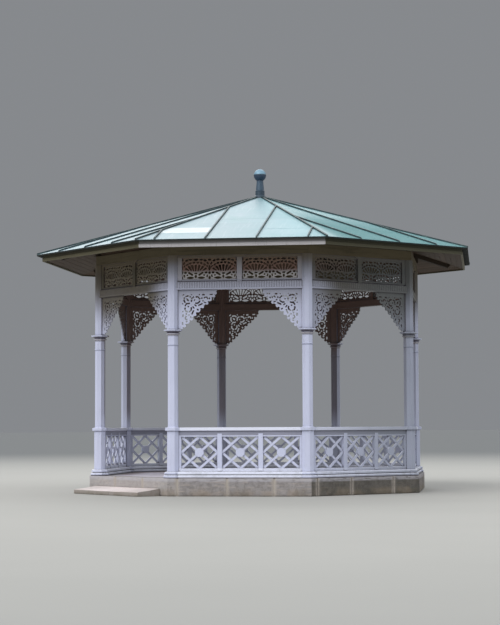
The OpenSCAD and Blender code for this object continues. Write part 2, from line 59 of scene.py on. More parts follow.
# The heights and distances that carry the pieces are read off the frame
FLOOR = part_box("stone_plinth")[1].z
KERB_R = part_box("stone_plinth")[1].x
PAVING_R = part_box("floor")[1].x
STEP_LOW, STEP_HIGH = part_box("entrance_step")
EAVES_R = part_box("roof_sheets")[1].x
FASCIA_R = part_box("fascia")[1].x
FASCIA_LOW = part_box("fascia")[0].z
LINING_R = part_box("roof_lining")[1].x
SOFFIT_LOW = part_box("roof_lining")[0].z
SHEET_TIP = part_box("roof_sheets")[1].z
FINIAL_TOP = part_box("finial")[1].z
BEAM_TOP = FLOOR + 3.906
FRET_LOW, FRET_TOP = FLOOR + 3.956, FLOOR + 4.397
CAPITAL_TOP = FLOOR + 2.957
LATTICE_LOW, LATTICE_TOP = FLOOR + 0.191, FLOOR + 0.822
RAIL_LOW = FLOOR + 0.938
LATTICE_PANEL, LATTICE_STEP = 0.72867, 0.82067
LATTICE_HALF = 0.023
FRET_HALF = 0.02

# Bays with a look of their own: the way in and the one that was mended, which both take some painted light,
# and the one that takes painted shade
ENTRANCE, MENDED_AND_LIT, SHADED_BAY = 0, 1, 2

# Distance of the lowest cross welt, above which a sheet was renewed
WELT_OUT = 3.93


def linear(*levels):
    """Colour for a shader from three levels of 0 to 255, as a colour chart gives them."""
    return tuple((v / 255 / 12.92) if v < 11 else ((v / 255 + 0.055) / 1.055) ** 2.4 for v in levels)


# Sizes and colours that a user would change


def length(name, metres, description):
    return bpy.props.FloatProperty(
        name=name, description=description, default=metres, min=0.0, unit="LENGTH", subtype="DISTANCE")


def tint(name, levels, description):
    return bpy.props.FloatVectorProperty(
        name=name, description=description, default=linear(*levels), size=3, min=0.0, max=1.0,
        subtype="COLOR")


def sizes():
    return bpy.context.scene.bandstand_sizes


def hue(name):
    """Colour for a shader from the name of one of the colours below."""
    return tuple(getattr(bpy.context.scene.bandstand_colours, name))


class BandstandSizes(bpy.types.PropertyGroup):
    bay_width: length("Bay width", 2.7, "Distance between the centres of neighbouring posts")
    kerb_width: length("Kerb width", 0.46, "Width of the kerb stones, front to back")
    stone_joint: length("Stone joint", 0.022, "Width of the mortar joints between the kerb stones")
    slab_side: length("Slab side", 0.5, "Side of the square paving slabs")
    slab_joint: length("Slab joint", 0.007, "Width of the joints in the paving")
    bay_line: length("Bay line", 3.25919, "Distance from the middle of the plan to the line of the posts")
    post_width: length("Post width", 0.2, "Width of a post shaft from flat to flat")
    beam_thickness: length("Beam thickness", 0.124, "Thickness of a beam")
    beam_height: length("Beam height", 0.15, "Height of a beam")
    lip_height: length("Lip height", 0.032, "Height of the lip along the bottom of a beam")
    rib_pitch: length("Rib pitch", 0.05, "Distance between the ribs on the face of a beam")
    rib_depth: length("Rib depth", 0.007, "How far a rib stands out from the beam")
    soffit_board: length("Soffit board", 0.122, "Width of a soffit board with its joint")
    seam_pitch: length("Seam pitch", 1.0, "Width of the roof sheets between two standing seams")
    ball_radius: length("Ball radius", 0.134, "Radius of the ball on the finial")
    pitch: bpy.props.FloatProperty(
        name="Roof pitch", description="Slope of the roof", default=math.radians(17.0),
        min=0.1, max=0.8, subtype="ANGLE")


class BandstandColours(bpy.types.PropertyGroup):
    paint: tint("Paint", (200, 205, 229), "Oil paint on posts, balustrades and fretwork")
    # Paler paint for the light that falls on rails, sills and tops: painted light
    lit_paint: tint("Lit paint", (228, 232, 248), "Paint of the rails and sills, paler as painted light")
    # Dark colour for painted shade in grooves and under rails and mouldings
    shadow: tint("Shade in corners", (80, 72, 84), "Painted shade in grooves, under rails and mouldings")
    grime: tint("Grime", (86, 88, 70), "Algae and dirt on the paint")
    timber: tint("Timber", (74, 60, 54), "Bare wood under the paint")
    # Dust and painted shade under the eaves; the wall plate takes this colour too
    eave_dust_shade_colour: tint("Dusty shaded paint", (88, 80, 62), "Dusty paint under the eaves, which rain never washes, darkened as painted shade")
    # Brown painted shade on the inner faces above the capitals, for the shade and warm light inside the
    # roof
    stain: tint("Inside stain", (102, 80, 70), "Brown stain on the inner faces, above the capitals")
    # Brown painted shade on the upper fretwork of the mended bay
    fret_shade: tint("Shaded fretwork", (140, 106, 92), "Brown painted shade on the upper fretwork of the mended bay")
    fascia: tint("Fascia", (202, 199, 202), "Paint on the fascia of the bay that was mended")
    old_fascia: tint("Old fascia", (96, 91, 71), "Weathered paint on the other fascias")
    soffit: tint("Soffit", (84, 70, 58), "Stained boards under the roof")
    rafters: tint("Rafters", (58, 48, 38), "Stained rafters and the post in the middle of the roof")
    roof: tint("Roof sheets", (146, 171, 179), "Weathered sheet metal")
    # Dark, for the shaded sides of the seams: painted shade
    seams: tint("Seams", (48, 66, 70), "Standing seams and hip caps")
    finial: tint("Finial", (66, 86, 104), "Painted sheet metal of the finial")
    kerb: tint("Kerb", (138, 133, 130), "Kerb stones")
    mortar: tint("Mortar", (176, 168, 160), "Mortar in the joints of the kerb")
    step: tint("Step", (182, 174, 168), "Entrance step")
    paving: tint("Paving", (186, 182, 194), "Paving slabs")
    floor: tint("Studio floor", (176, 176, 172), "Floor that the bandstand stands on")


# Writing finishes


def maths(operation, swapped=False):
    """Method of a Wire that adds a Math node, with its two values swapped for a reflected one."""
    def method(self, other=None):
        values = (other, self) if swapped else (self, other)
        sockets = {k: v for k, v in zip(("Value", "Value_001"), values) if v is not None}
        return self.finish.node("ShaderNodeMath", {"operation": operation}, sockets)
    return method


class Wire:
    """Socket of a finish being written, which takes part in plain arithmetic."""

    def __init__(self, finish, socket):
        self.finish = finish
        self.socket = socket

    __add__ = __radd__ = maths("ADD")
    __sub__ = maths("SUBTRACT")
    __rsub__ = maths("SUBTRACT", swapped=True)
    __mul__ = __rmul__ = maths("MULTIPLY")
    __truediv__ = maths("DIVIDE")
    __rtruediv__ = maths("DIVIDE", swapped=True)
    __mod__ = maths("FLOORED_MODULO")
    __abs__ = maths("ABSOLUTE")
    __round__ = maths("ROUND")
    __floor__ = maths("FLOOR")
    __gt__ = maths("GREATER_THAN")
    __lt__ = maths("LESS_THAN")
    most = maths("MAXIMUM")
    least = maths("MINIMUM")
    angle = maths("ARCTAN2")
    sine = maths("SINE")
    cosine = maths("COSINE")

    def rise(self, start, end, low=0.0, high=1.0):
        """Goes smoothly from low to high while this value goes from start to end."""
        return self.finish.node("ShaderNodeMapRange", {"interpolation_type": "SMOOTHSTEP"}, {
            "Value": self, "From Min": start, "From Max": end, "To Min": low, "To Max": high})

    def within(self, low, high, soft=0.003):
        """1 where this value lies between low and high, with soft ends."""
        return self.rise(low - soft, low + soft) * self.rise(high + soft, high - soft)

    def is_bay(self, bay):
        """1 where this value, the number of a bay, is the one asked for."""
        return abs(self - bay) < 0.5


class Finish:
    """A material in the making, with its constants on the shader and its maps wired in. Its
    colour is laid coat by coat."""

    def __init__(self, name, body, roughness, metallic=0.0, specular=0.5):
        self.body = self.colour = hue(body)
        self.material = bpy.data.materials.new(name)
        self.material.use_nodes = True
        self.material.diffuse_color = (*self.body, 1.0)
        self.tree = self.material.node_tree
        self.shader = next(n for n in self.tree.nodes if n.type == "BSDF_PRINCIPLED")
        constants = {"Base Color": (*self.body, 1.0), "Roughness": roughness, "Metallic": metallic,
                     "Specular IOR Level": specular}
        for socket, value in constants.items():
            self.shader.inputs[socket].default_value = value
        self.place = self.node("ShaderNodeTexCoord", output="Object")
        self.x, self.y, self.z = self.parts(self.place)

    def node(self, kind, settings=None, sockets=None, output=0):
        """Adds a node: its settings are set first, then the values or links of its sockets."""
        made = self.tree.nodes.new(kind)
        for key, value in (settings or {}).items():
            setattr(made, key, value)
        for key, value in (sockets or {}).items():
            socket = next(s for s in made.inputs if s.identifier == key or s.name == key)
            if isinstance(value, Wire):
                self.tree.links.new(value.socket, socket)
            elif isinstance(value, tuple) and len(value) == 3 and socket.type == "RGBA":
                socket.default_value = (*value, 1.0)
            else:
                socket.default_value = value
        if isinstance(output, str):
            output = next(i for i, s in enumerate(made.outputs) if output in (s.identifier, s.name))
        return Wire(self, made.outputs[output])

    def parts(self, vector):
        """The three parts of a vector, a wire for each."""
        made = self.node("ShaderNodeSeparateXYZ", sockets={"Vector": vector}).socket.node
        return [Wire(self, s) for s in made.outputs]

    def vector(self, x, y, z):
        return self.node("ShaderNodeCombineXYZ", sockets={"X": x, "Y": y, "Z": z})

    def cloud(self, scale, detail=3.0, roughness=0.5, distortion=0.0, where=None):
        """Soft noise from 0 to 1, scale to the metre."""
        return self.node("ShaderNodeTexNoise", sockets={
            "Vector": where or self.place, "Scale": scale, "Detail": detail,
            "Roughness": roughness, "Distortion": distortion})

    def streaks(self, x, y, z, detail=3.0, roughness=0.6, distortion=0.0):
        """Noise drawn out by the scales of its own three coordinates."""
        return self.cloud(1.0, detail, roughness, distortion, self.vector(x, y, z))

    def cells(self, scale, where=None):
        """Distance to the nearest of many scattered points, scale to the metre."""
        sockets = {"Vector": where or self.place, "Scale": scale}
        return self.node("ShaderNodeTexVoronoi", sockets=sockets, output="Distance")

    def attribute(self, name):
        """Value that each point of the mesh carries under a name."""
        return self.node("ShaderNodeAttribute", {"attribute_name": name}, output="Fac")

    def chance(self, number):
        """A fixed value from 0 to 1 for each whole number."""
        return self.node("ShaderNodeTexWhiteNoise", {"noise_dimensions": "1D"}, {"W": number}, "Value")

    def mix(self, amount, first, second):
        return self.node("ShaderNodeMix", {"data_type": "RGBA"}, {
            "Factor_Float": amount, "A_Color": first, "B_Color": second}, "Result_Color")

    def shade(self, colour, level):
        """Colour made lighter or darker by a level, where 1 leaves it."""
        return self.node("ShaderNodeVectorMath", {"operation": "SCALE"}, {
            "Vector": colour, "Scale": level}, "Vector")

    def lay(self, level, colour=None):
        """Lays the first coat, the body colour or another, made lighter or darker by a level."""
        self.colour = self.shade(colour or self.body, level)

    def body_coat(self, amount, gain, lift=0.0):
        """Lays the body colour again, made stronger or weaker by a gain."""
        body = tuple(min(1.0, gain * c + lift) for c in self.body)
        self.colour = self.mix(amount, self.colour, body)

    def coat(self, amount, colour):
        """Lays a colour over the coats below, which an amount of 1 hides. The colour is the name of
        one of the bandstand's, three levels of a colour chart, or a map."""
        if isinstance(colour, str):
            colour = hue(colour)
        elif isinstance(colour, tuple):
            colour = linear(*colour)
        self.colour = self.mix(amount, self.colour, colour)

    def facing(self):
        """Across, deep and up of the surface's own direction."""
        return self.parts(self.node("ShaderNodeNewGeometry", output="Normal"))

    def arris(self, width, gain=3.0):
        """1 along edges and arrises that stand out, 0 elsewhere."""
        rounded = self.node("ShaderNodeBevel", {"samples": 4}, {"Radius": width})
        flat = self.node("ShaderNodeNewGeometry", output="Normal")
        same = self.node("ShaderNodeVectorMath", {"operation": "DOT_PRODUCT"}, {
            "Vector": rounded, "Vector_001": flat}, "Value")
        return ((1.0 - same) * gain).least(1.0)

    def hollow(self, reach):
        """1 deep in grooves and inner corners, 0 on open faces."""
        return 1.0 - self.node("ShaderNodeAmbientOcclusion", {"samples": 6}, {"Distance": reach}, "AO")

    def bay(self, half=0.0):
        """Along a bay from its middle, outward from the middle of the plan, and the bay's number.
        With half=0.5 the same is counted from the posts."""
        number = round(self.x.angle(0.0 - self.y) / TURN - half) + half
        turned = number * TURN
        sine, cosine = turned.sine(), turned.cosine()
        return self.x * cosine + self.y * sine, self.x * sine - self.y * cosine, number

    def relief(self, height, strength, depth, after=None):
        """Bump from a height map, strength from 0 to 1 over a depth in metres."""
        sockets = {"Height": height, "Strength": strength, "Distance": depth}
        if after:
            sockets["Normal"] = after
        return self.node("ShaderNodeBump", sockets=sockets)

    def done(self, roughness=None, normal=None, metallic=None):
        """Wires the maps into the shader and gives the material."""
        maps = {"Base Color": self.colour, "Roughness": roughness, "Normal": normal, "Metallic": metallic}
        for name, wire in maps.items():
            if wire:
                self.tree.links.new(wire.socket, self.shader.inputs[name])
        return self.material


def brushed_paint(name, grain, eave_dust_shade_from, marks=None):
    """Oil paint over wood: brush marks and grain along the piece, dust and painted shade under the eaves,
    painted shade on the side away from the light, at the back and on the inner faces, brown above the
    capitals, painted light on tops, dirt and painted shade in the corners, and wear and a painted
    highlight on the arrises. grain gives the wood's own across, along and deep coordinates, and marks
    adds what only some pieces have."""
    f = Finish(name, "paint", 0.5, specular=0.35)
    across, along, deep = grain(f)
    fibre = f.fibre = f.streaks(across * 46.0, along * 2.2, deep * 46.0, 4.0)
    strokes = f.streaks(across * 130.0, along * 5.0, deep * 130.0, 2.0, 0.5)
    patch = f.cloud(1.7, 3.0)
    speck = f.cloud(38.0, 3.0, 0.65)
    side, back, up = f.facing()
    f.lay(0.88 + patch * 0.14 + fibre * 0.1 + (strokes - 0.5) * 0.06)
    f.body_coat(fibre.rise(0.62, 0.8) * patch.rise(0.4, 0.7) * 0.3, 0.8)

    # Dust and painted shade under the eaves start higher and are lighter on the mended bay, which takes
    # painted light, and less and less so towards the other sides
    front_lit = ((f.x - f.y) * math.sqrt(0.5) / sizes().bay_line).rise(0.8, 0.98)
    eave_dust_shade = (f.z - front_lit * 0.5).rise(eave_dust_shade_from, eave_dust_shade_from + 0.9) * (0.9 - front_lit * 0.1 + patch * 0.1)
    f.coat(eave_dust_shade, f.shade(hue("eave_dust_shade_colour"), 0.85 + fibre * 0.3))
    if marks:
        marks(f)
    # Dark olive at the tops of the friezes and posts: dust and painted shade under the eaves, a little
    # paler than the coat below, as painted light on the top rails
    f.coat(f.z.rise(FRET_TOP - 0.22, FRET_TOP + 0.05) * 0.75, (114, 102, 80))

    # The posts on the side away from the light and at the back are greyer: painted shade
    shaded_side = 1.95
    far = ((f.x * math.sin(shaded_side) - f.y * math.cos(shaded_side)) / 3.5).rise(0.7, 0.98)
    behind = (f.y - f.x).rise(0.6, 3.4) * (0.25 + patch * 0.3)
    f.coat((far * (0.4 + patch * 0.25)).most(behind), (100, 108, 114))

    # Inner faces: painted shade with some dust, and brown painted shade above the capitals
    inward = (f.x * side + f.y * back).rise(-0.7, -2.4)
    dusty = inward * f.z.rise(FLOOR + 0.9, FLOOR + 1.5, 0.04, 0.78)
    f.coat(dusty, (98, 88, 90))
    # Upward faces below the handrail are paler: painted light
    lit_tops = up.rise(0.45, 0.7) * f.z.rise(RAIL_LOW, RAIL_LOW - 0.1)
    f.coat(lit_tops * 0.75, "lit_paint")
    # Brown painted shade on the inner faces above the capitals
    stained = inward * f.z.rise(FLOOR + 2.5, FLOOR + 3.1, 0.0, 0.92)
    f.coat(stained, f.shade(hue("stain"), 0.75 + fibre * 0.6))

    # Wear and a painted highlight on the arrises, dirt near the floor and on ledges, dirt and painted shade
    # in corners, painted shade in grooves and a painted shadow at the foot
    edge = f.arris(0.006) * (1.0 - eave_dust_shade)
    # Near-white arrises are a painted highlight; bare timber on them is wear
    f.coat(edge * speck.rise(0.42, 0.62) * 0.4 * (1.0 - stained), (230, 233, 242))
    f.coat(edge * speck.rise(0.62, 0.72) * 0.6, "timber")
    near_floor = f.z.rise(FLOOR + 0.4, FLOOR - 0.02) * f.cloud(5.5, 4.0, 0.6).rise(0.46, 0.7)
    spots = f.cloud(26.0, 3.0, 0.7).rise(0.6, 0.72) * f.cloud(2.3, 2.0).rise(0.42, 0.62)
    ledge = up.rise(0.6, 0.98)
    grime = (near_floor * 0.22 + spots * 0.26 + ledge * speck.rise(0.35, 0.75) * 0.3).least(0.8)
    f.coat(grime, "grime")
    # Dirt and painted shade in the corners
    f.coat(f.hollow(0.22).rise(0.3, 0.85) * 0.3, "grime")
    # Painted shade in grooves and under mouldings, and a painted shadow along the foot
    foot = f.z.rise(FLOOR + 0.024, FLOOR + 0.008)
    line = f.hollow(0.05).rise(0.25, 0.62).most(foot) * 0.85
    f.coat(line, "shadow")
    normal = f.relief(fibre * 0.7 + strokes * 0.3, 0.35, 0.0022)
    normal = f.relief(speck, 0.12, 0.0015, normal)
    return f.done(0.42 + patch * 0.16 + grime * 0.3, normal)


def capital_marks(f):
    """Painted shadow under the top plate of a capital, under its moulding and under its ring, and a dusty
    tan band on the moulding.
    """
    drop = CAPITAL_TOP - f.z
    # Painted shadow under the top plate
    f.coat(drop.within(0.03, 0.076) * 0.85, (78, 70, 84))
    f.coat(drop.within(0.08, 0.114) * 0.65, (160, 150, 142))
    # Painted shadow under the moulding and under the ring
    f.coat(drop.within(0.118, 0.132) * 0.6, (96, 94, 100))
    f.coat(drop.within(0.306, 0.332) * 0.5, (112, 118, 148))


def rail_marks(f):
    """Painted light on the rails and sills, weaker on the shaded bay, and a painted shadow of the handrail,
    with some dirt, on the top rail.
    """
    _, out, number = f.bay()
    rail_half = 0.0345
    handrail_shadow = f.z.within(LATTICE_TOP, RAIL_LOW) * (abs(out - sizes().bay_line) < rail_half)
    sills = f.z.rise(LATTICE_LOW + 0.004, LATTICE_LOW - 0.004)
    handrail = f.z.rise(RAIL_LOW - 0.004, RAIL_LOW + 0.004)
    # Painted light on the sills, bottom rail and handrail
    f.coat((sills + handrail) * (0.9 - number.is_bay(SHADED_BAY) * 0.45), "lit_paint")
    # Painted shadow of the handrail on the top rail, with some dirt
    f.coat(handrail_shadow * (0.5 + f.fibre * 0.3), (106, 104, 116))


def fret_marks(f):
    """Painted shade in the grooves of the beams. On the mended bay painted light on the frames and the
    lower fretwork and brown painted shade on the upper fretwork, which reaches into the next bay; on the
    others olive dirt and painted shade, darkest on the shaded bay.
    """
    s = sizes()
    along, out, number = f.bay()
    mended = number.is_bay(MENDED_AND_LIT)
    off = abs(out - s.bay_line)
    recess = f.z.within(BEAM_TOP - s.beam_height + s.lip_height, BEAM_TOP)
    groove_shade = recess * (off > s.beam_thickness / 2 - 0.004)
    # Painted shade in the grooves between the ribs
    f.coat(groove_shade * 0.32, (84, 80, 86))
    panel = f.z.within(FRET_LOW, FRET_TOP)
    board = panel * (off < FRET_HALF)
    frame_part = panel - board
    streak = f.streaks(along * 42.0, number, f.z * 3.0).rise(0.4, 0.7)
    # Painted light: paler frames on the mended bay
    f.coat(frame_part * mended * 0.65, (186, 184, 194))
    # Brown painted shade on the upper fretwork of the mended bay and part of the next
    brown = board * f.z.rise(FRET_LOW + 0.1, FRET_LOW + 0.22)
    brown = brown * mended.most(abs(number - 1.7).rise(0.4, 0.3) * along.rise(0.1, -0.5) * 0.7)
    f.coat(brown * 0.9, f.shade(hue("fret_shade"), 1.1 - streak * 0.5))
    # Painted light on the lower fretwork of the mended bay, below the shade of the eaves
    f.coat(board * mended * f.z.rise(FRET_LOW + 0.2, FRET_LOW + 0.08) * 0.6, (206, 200, 194))
    # Olive dirt and painted shade on the other bays; the boards take a paler olive, painted light
    olive = (1.0 - mended) * f.z.rise(BEAM_TOP - 0.12, FRET_LOW + 0.02) * (1.0 - brown)
    f.coat(olive * (0.6 - board * 0.45), (66, 60, 40))
    f.coat(olive * board * 0.4, (132, 120, 96))
    # Painted shade on the boards of the shaded bay
    f.coat(board * number.is_bay(SHADED_BAY) * (1.0 - brown * 0.5) * 0.75, (40, 36, 24))


def bracket_marks(f):
    """Grey painted shade on the brackets of the shaded bay."""
    *_, number = f.bay()
    f.coat(number.is_bay(SHADED_BAY) * 0.38, (84, 84, 80))


def fascia_paint():
    """Paint of the fascia, sound on the mended bay and brown with dirt elsewhere, with a painted shadow
    under the drip and painted shade on the shaded bay.
    """
    f = Finish("Painted fascia", "fascia", 0.6, specular=0.3)
    along, _, number = f.bay()
    fibre = f.streaks(along * 2.4, f.z * 50.0, number, 4.0)
    patch = f.cloud(1.3, 4.0, 0.6)
    drips = f.streaks(along * 26.0, number, f.z * 2.0)
    sound = f.mix(number.is_bay(MENDED_AND_LIT), hue("old_fascia"), hue("fascia"))
    f.lay(0.78 + patch * 0.22 + fibre * 0.16, sound)
    # Painted shadow under the drip
    drip_shadow = f.z.rise(FASCIA_LOW + 0.045, FASCIA_LOW + 0.11)
    f.coat(drip_shadow * 0.8, (64, 60, 48))
    f.coat(drips.rise(0.55, 0.75) * 0.35, (92, 84, 68))
    # Painted shade on the shaded bay
    f.coat(number.is_bay(SHADED_BAY) * 0.45, (48, 52, 38))
    return f.done(0.5 + patch * 0.2, f.relief(fibre, 0.4, 0.002))


def upright_grain(f):
    """Wood that stands, as in the posts."""
    return f.x, f.z, f.y


def bay_grain(f):
    """Wood that runs along its bay, as in beams, rails and the wall plate."""
    along, out, number = f.bay()
    return f.z + number, along, out


def hip_grain(f):
    """Wood that runs up the hips, as in the rafters there."""
    along, out, number = f.bay(0.5)
    return along + number, out, f.z


def balustrade_grain(f):
    """Rails along the bay, uprights standing, and the boards of the lattice on their slant."""
    along, out, number = f.bay()
    spot = (along + 1.5 * LATTICE_STEP) % LATTICE_STEP - LATTICE_STEP / 2
    up = f.z - (LATTICE_TOP + LATTICE_LOW) / 2
    slant = math.atan2(LATTICE_TOP - LATTICE_LOW, LATTICE_PANEL)

    def board(angle):
        """Along and across a board of the lattice that lies at an angle."""
        sine, cosine = math.sin(angle), math.cos(angle)
        return spot * cosine + up * sine, up * cosine - spot * sine

    (run_up, off_up), (run_down, off_down) = board(slant), board(-slant)
    inside = (f.z > LATTICE_LOW) * (f.z < LATTICE_TOP)
    lattice = inside * (abs(spot) < LATTICE_PANEL / 2)
    upright = inside * (1.0 - lattice)
    flat = 1.0 - lattice - upright
    corner = LATTICE_PANEL * math.sin(slant) / 2
    on_rising = (abs(off_up) < LATTICE_HALF) + (abs(abs(off_up) - corner) < LATTICE_HALF)
    rising = lattice * on_rising.least(1.0)
    falling = lattice * (1.0 - on_rising.least(1.0))
    length_way = flat * along + upright * f.z + rising * run_up + falling * run_down
    width_way = flat * f.z + upright * along + rising * off_up + falling * off_down + number
    return width_way, length_way, out


def kerb_stone_finish():
    """Grey-brown sandstone, hammer dressed, with mortar smeared over its ends and damp below."""
    f = Finish("Weathered kerb stone", "kerb", 0.85, specular=0.25)
    tone = f.attribute("tone")
    joint = f.attribute("joint")
    wide = f.cloud(2.4, 5.0, 0.62)
    blot = f.cloud(9.0, 5.0, 0.7, 0.4)
    grit = f.cloud(140.0, 3.0, 0.7)
    pits = f.cells(55.0)
    bed = f.streaks(f.x * 3.0, f.y * 3.0, f.z * 26.0, 4.0)
    *_, up = f.facing()
    *_, number = f.bay()
    stroke = f.streaks(f.x * 7.0, f.y * 7.0, f.z * 48.0, 3.0, 0.65)
    f.lay(0.72 + tone * 0.24 + wide * 0.34 - pits.rise(0.0, 0.35, 0.14, 0.0))
    f.coat(wide.rise(0.45, 0.62) * 0.45, (104, 102, 106))
    f.coat(blot.rise(0.44, 0.6) * 0.65, (94, 87, 82))
    f.coat(bed.rise(0.5, 0.68) * 0.45, (178, 164, 150))
    f.coat(stroke.rise(0.54, 0.66) * 0.3, (78, 74, 76))
    # Painted light on the kerb of the way in and of the mended bay, painted shade on the shaded bay
    f.coat(number.is_bay(ENTRANCE) * (0.3 + wide * 0.35), (194, 190, 190))
    f.coat(number.is_bay(MENDED_AND_LIT) * 0.16, (212, 210, 216))
    f.coat(number.is_bay(SHADED_BAY) * (0.5 + wide * 0.35), (78, 76, 70))
    low_part = f.z.rise(0.2, 0.06) * f.cloud(3.0, 3.0).rise(0.35, 0.6)
    f.coat(low_part * 0.4, (158, 142, 124))
    # Painted light along the top edge
    top_edge_light = f.z.rise(FLOOR - 0.085, FLOOR - 0.05) * stroke.rise(0.75, 0.45)
    f.coat(top_edge_light * 0.6, (178, 176, 184))
    damp = f.z.rise(0.19, 0.0) * wide.rise(0.32, 0.62)
    f.coat(damp * 0.5, (84, 82, 70))
    lichen = f.cloud(17.0, 4.0, 0.75).rise(0.6, 0.7) * wide.rise(0.4, 0.6)
    f.coat(lichen * 0.4, (164, 162, 150))
    edge_light = f.arris(0.012, 2.0) * grit.rise(0.3, 0.6)
    f.coat(edge_light * 0.35, (190, 182, 170))
    smear = joint.rise(0.0, 1.0) * blot.rise(0.25, 0.6)
    f.coat(smear * 0.8, "mortar")
    f.coat(up.rise(0.6, 0.95) * 0.25, (120, 116, 104))
    # Painted shade in the hollows
    f.coat(f.hollow(0.06).rise(0.3, 0.75) * 0.6, (62, 56, 54))
    height = blot * 0.5 + grit * 0.2 + pits.rise(0.0, 0.3) * 0.3 + bed * 0.3
    return f.done(0.8 + grit * 0.15, f.relief(height, 0.75, 0.012))


def mortar_finish():
    """Pale lime mortar, sandy."""
    f = Finish("Lime mortar", "mortar", 0.9, specular=0.2)
    sand = f.cloud(210.0, 2.0, 0.8)
    wide = f.cloud(6.0, 4.0)
    f.lay(0.7 + sand * 0.25 + wide * 0.25)
    f.coat(f.z.rise(0.12, 0.0) * 0.4, (104, 98, 88))
    along, _, number = f.bay()
    # Painted shade on the shaded bay, and darker near the corners
    shaded_and_corners = number.is_bay(SHADED_BAY) * (0.2 + wide * 0.7)
    corner = abs(abs(along) - KERB_R * HIP).rise(0.05, 0.0)
    f.coat(shaded_and_corners.most(corner), (74, 70, 66))
    return f.done(None, f.relief(sand + wide, 0.6, 0.004))


def step_finish():
    """Paler stone, worn smooth in the middle of the tread and paler on all of it as painted light, with a
    painted highlight on the arrises, and dark with damp at the foot.
    """
    f = Finish("Worn step stone", "step", 0.75, specular=0.3)
    wide = f.cloud(3.0, 5.0, 0.6)
    blot = f.cloud(14.0, 4.0, 0.7)
    grit = f.cloud(170.0, 2.0, 0.8)
    *_, up = f.facing()
    # The tread is paler: wear in the middle and painted light all over
    worn = up.rise(0.5, 0.9) * (0.6 + abs(f.x).rise(1.1, 0.2) * 0.4)
    f.lay(0.5 + wide * 0.3 + grit * 0.12)
    f.coat(blot.rise(0.52, 0.68) * 0.45, (122, 104, 94))
    f.coat(worn * (0.75 + wide * 0.35).least(1.0), (240, 229, 228))
    f.coat(f.z.rise(0.1, 0.0) * wide.rise(0.3, 0.6) * 0.6, (96, 92, 76))
    # Painted highlight on the arrises
    f.coat(f.arris(0.01, 2.0) * grit.rise(0.35, 0.6) * 0.4, (214, 208, 198))
    return f.done(0.82 - worn * 0.2, f.relief(blot * 0.6 + grit * 0.4, 0.6, 0.006))


def paving_finish():
    """Grey slabs, each with its own tone, scuffed and dusty, darker towards the posts."""
    f = Finish("Paving slab", "paving", 0.8, specular=0.3)
    tone = f.attribute("tone")
    wide = f.cloud(1.3, 5.0, 0.6)
    blot = f.cloud(11.0, 4.0, 0.7)
    grit = f.cloud(190.0, 2.0, 0.8)
    f.lay(0.7 + tone * 0.3 + wide * 0.35 + grit * 0.1)
    f.coat(blot.rise(0.55, 0.7) * 0.4, (84, 82, 80))
    out = f.bay()[1]
    dirt = f.y.rise(-2.0, 0.0) * 0.2 + out.rise(2.5, 3.0) * f.y.rise(-3.0, -2.3) * (0.4 + wide * 0.5)
    f.coat(dirt.least(0.9), (104, 74, 64))
    f.coat(f.cloud(0.8, 3.0).rise(0.5, 0.66) * 0.3, (150, 140, 132))
    return f.done(0.76 + grit * 0.15, f.relief(blot * 0.5 + grit * 0.5, 0.5, 0.004))


def roof_finish():
    """Sheet metal with a pale grey-green bloom, rain streaks down the slope and a tone for
    each sheet between the seams, dirt and painted shade beside the seams, painted shade going bluer and
    then teal on the side away from the light, and near-black painted shade on the rims."""
    f = Finish("Weathered roof sheet", "roof", 0.42, metallic=0.25)
    along, out, number = f.bay()
    spot = along / sizes().seam_pitch + (number % 2.0) * 0.5
    pan = math.floor(spot)
    sheet = f.chance(pan + number * 11.0)
    part = out > 2.62 + sheet * 0.9
    tone = f.chance(pan * 3.0 + number * 17.0 + part * 5.0)
    streak = f.streaks(along * 16.0, out * 1.1, number, 4.0)
    wave = f.streaks(along * 2.2, out * 9.0, number, 3.0, 0.5)
    bloom = f.cloud(1.4, 5.0, 0.62)
    fine = f.cloud(60.0, 3.0, 0.7)
    f.lay(0.84 + tone * 0.12 + bloom * 0.16 + (fine - 0.5) * 0.08)
    f.coat(bloom.rise(0.5, 0.72) * 0.4, (138, 172, 172))
    f.coat(streak.rise(0.5, 0.75) * 0.35, (196, 206, 212))
    f.coat(wave.rise(0.52, 0.7) * 0.2, (184, 184, 198))
    # Darker beside the seams: dirt and painted shade
    beside = abs(spot % 1.0 - 0.5).rise(0.455, 0.49)
    f.coat(beside * 0.4, (96, 112, 112))

    # The way around, counted in bays, tells the side in painted shade, bluer and then teal, from the others
    way = number + along / (out.most(0.2) * (2 * HIP))
    shaded_end = way.rise(3.9, 2.8)
    # Painted shade: bluer from the middle of the mended bay on, then teal on the side away from the light
    f.coat(way.rise(0.9, 1.6) * shaded_end * 0.5, (104, 170, 180))
    shaded = way.rise(1.4, 1.68) * shaded_end * out.rise(1.0, 3.6, 0.45, 0.95)
    f.coat(shaded * (0.38 + streak * 0.42), (46, 108, 102))
    new_sheet = (out > 3.41) * (out < WELT_OUT) * (along > -1.49) * (along < -0.52)
    f.coat(new_sheet * number.is_bay(MENDED_AND_LIT) * 0.65, (222, 230, 232))
    *_, up = f.facing()
    # Near-black painted shade on the rims of the sheets
    rim_shade = up.rise(0.6, 0.2)
    f.coat(rim_shade * 0.98, (24, 28, 27))
    dents = f.cloud(2.6, 2.0)
    normal = f.relief(dents + wave * 0.5, 0.3, 0.02)
    normal = f.relief(fine, 0.1, 0.002, normal)
    matt = rim_shade.most(shaded * 0.9)
    return f.done((0.34 + bloom * 0.2 + streak * 0.1).most(matt), normal, 0.25 - matt * 0.25)


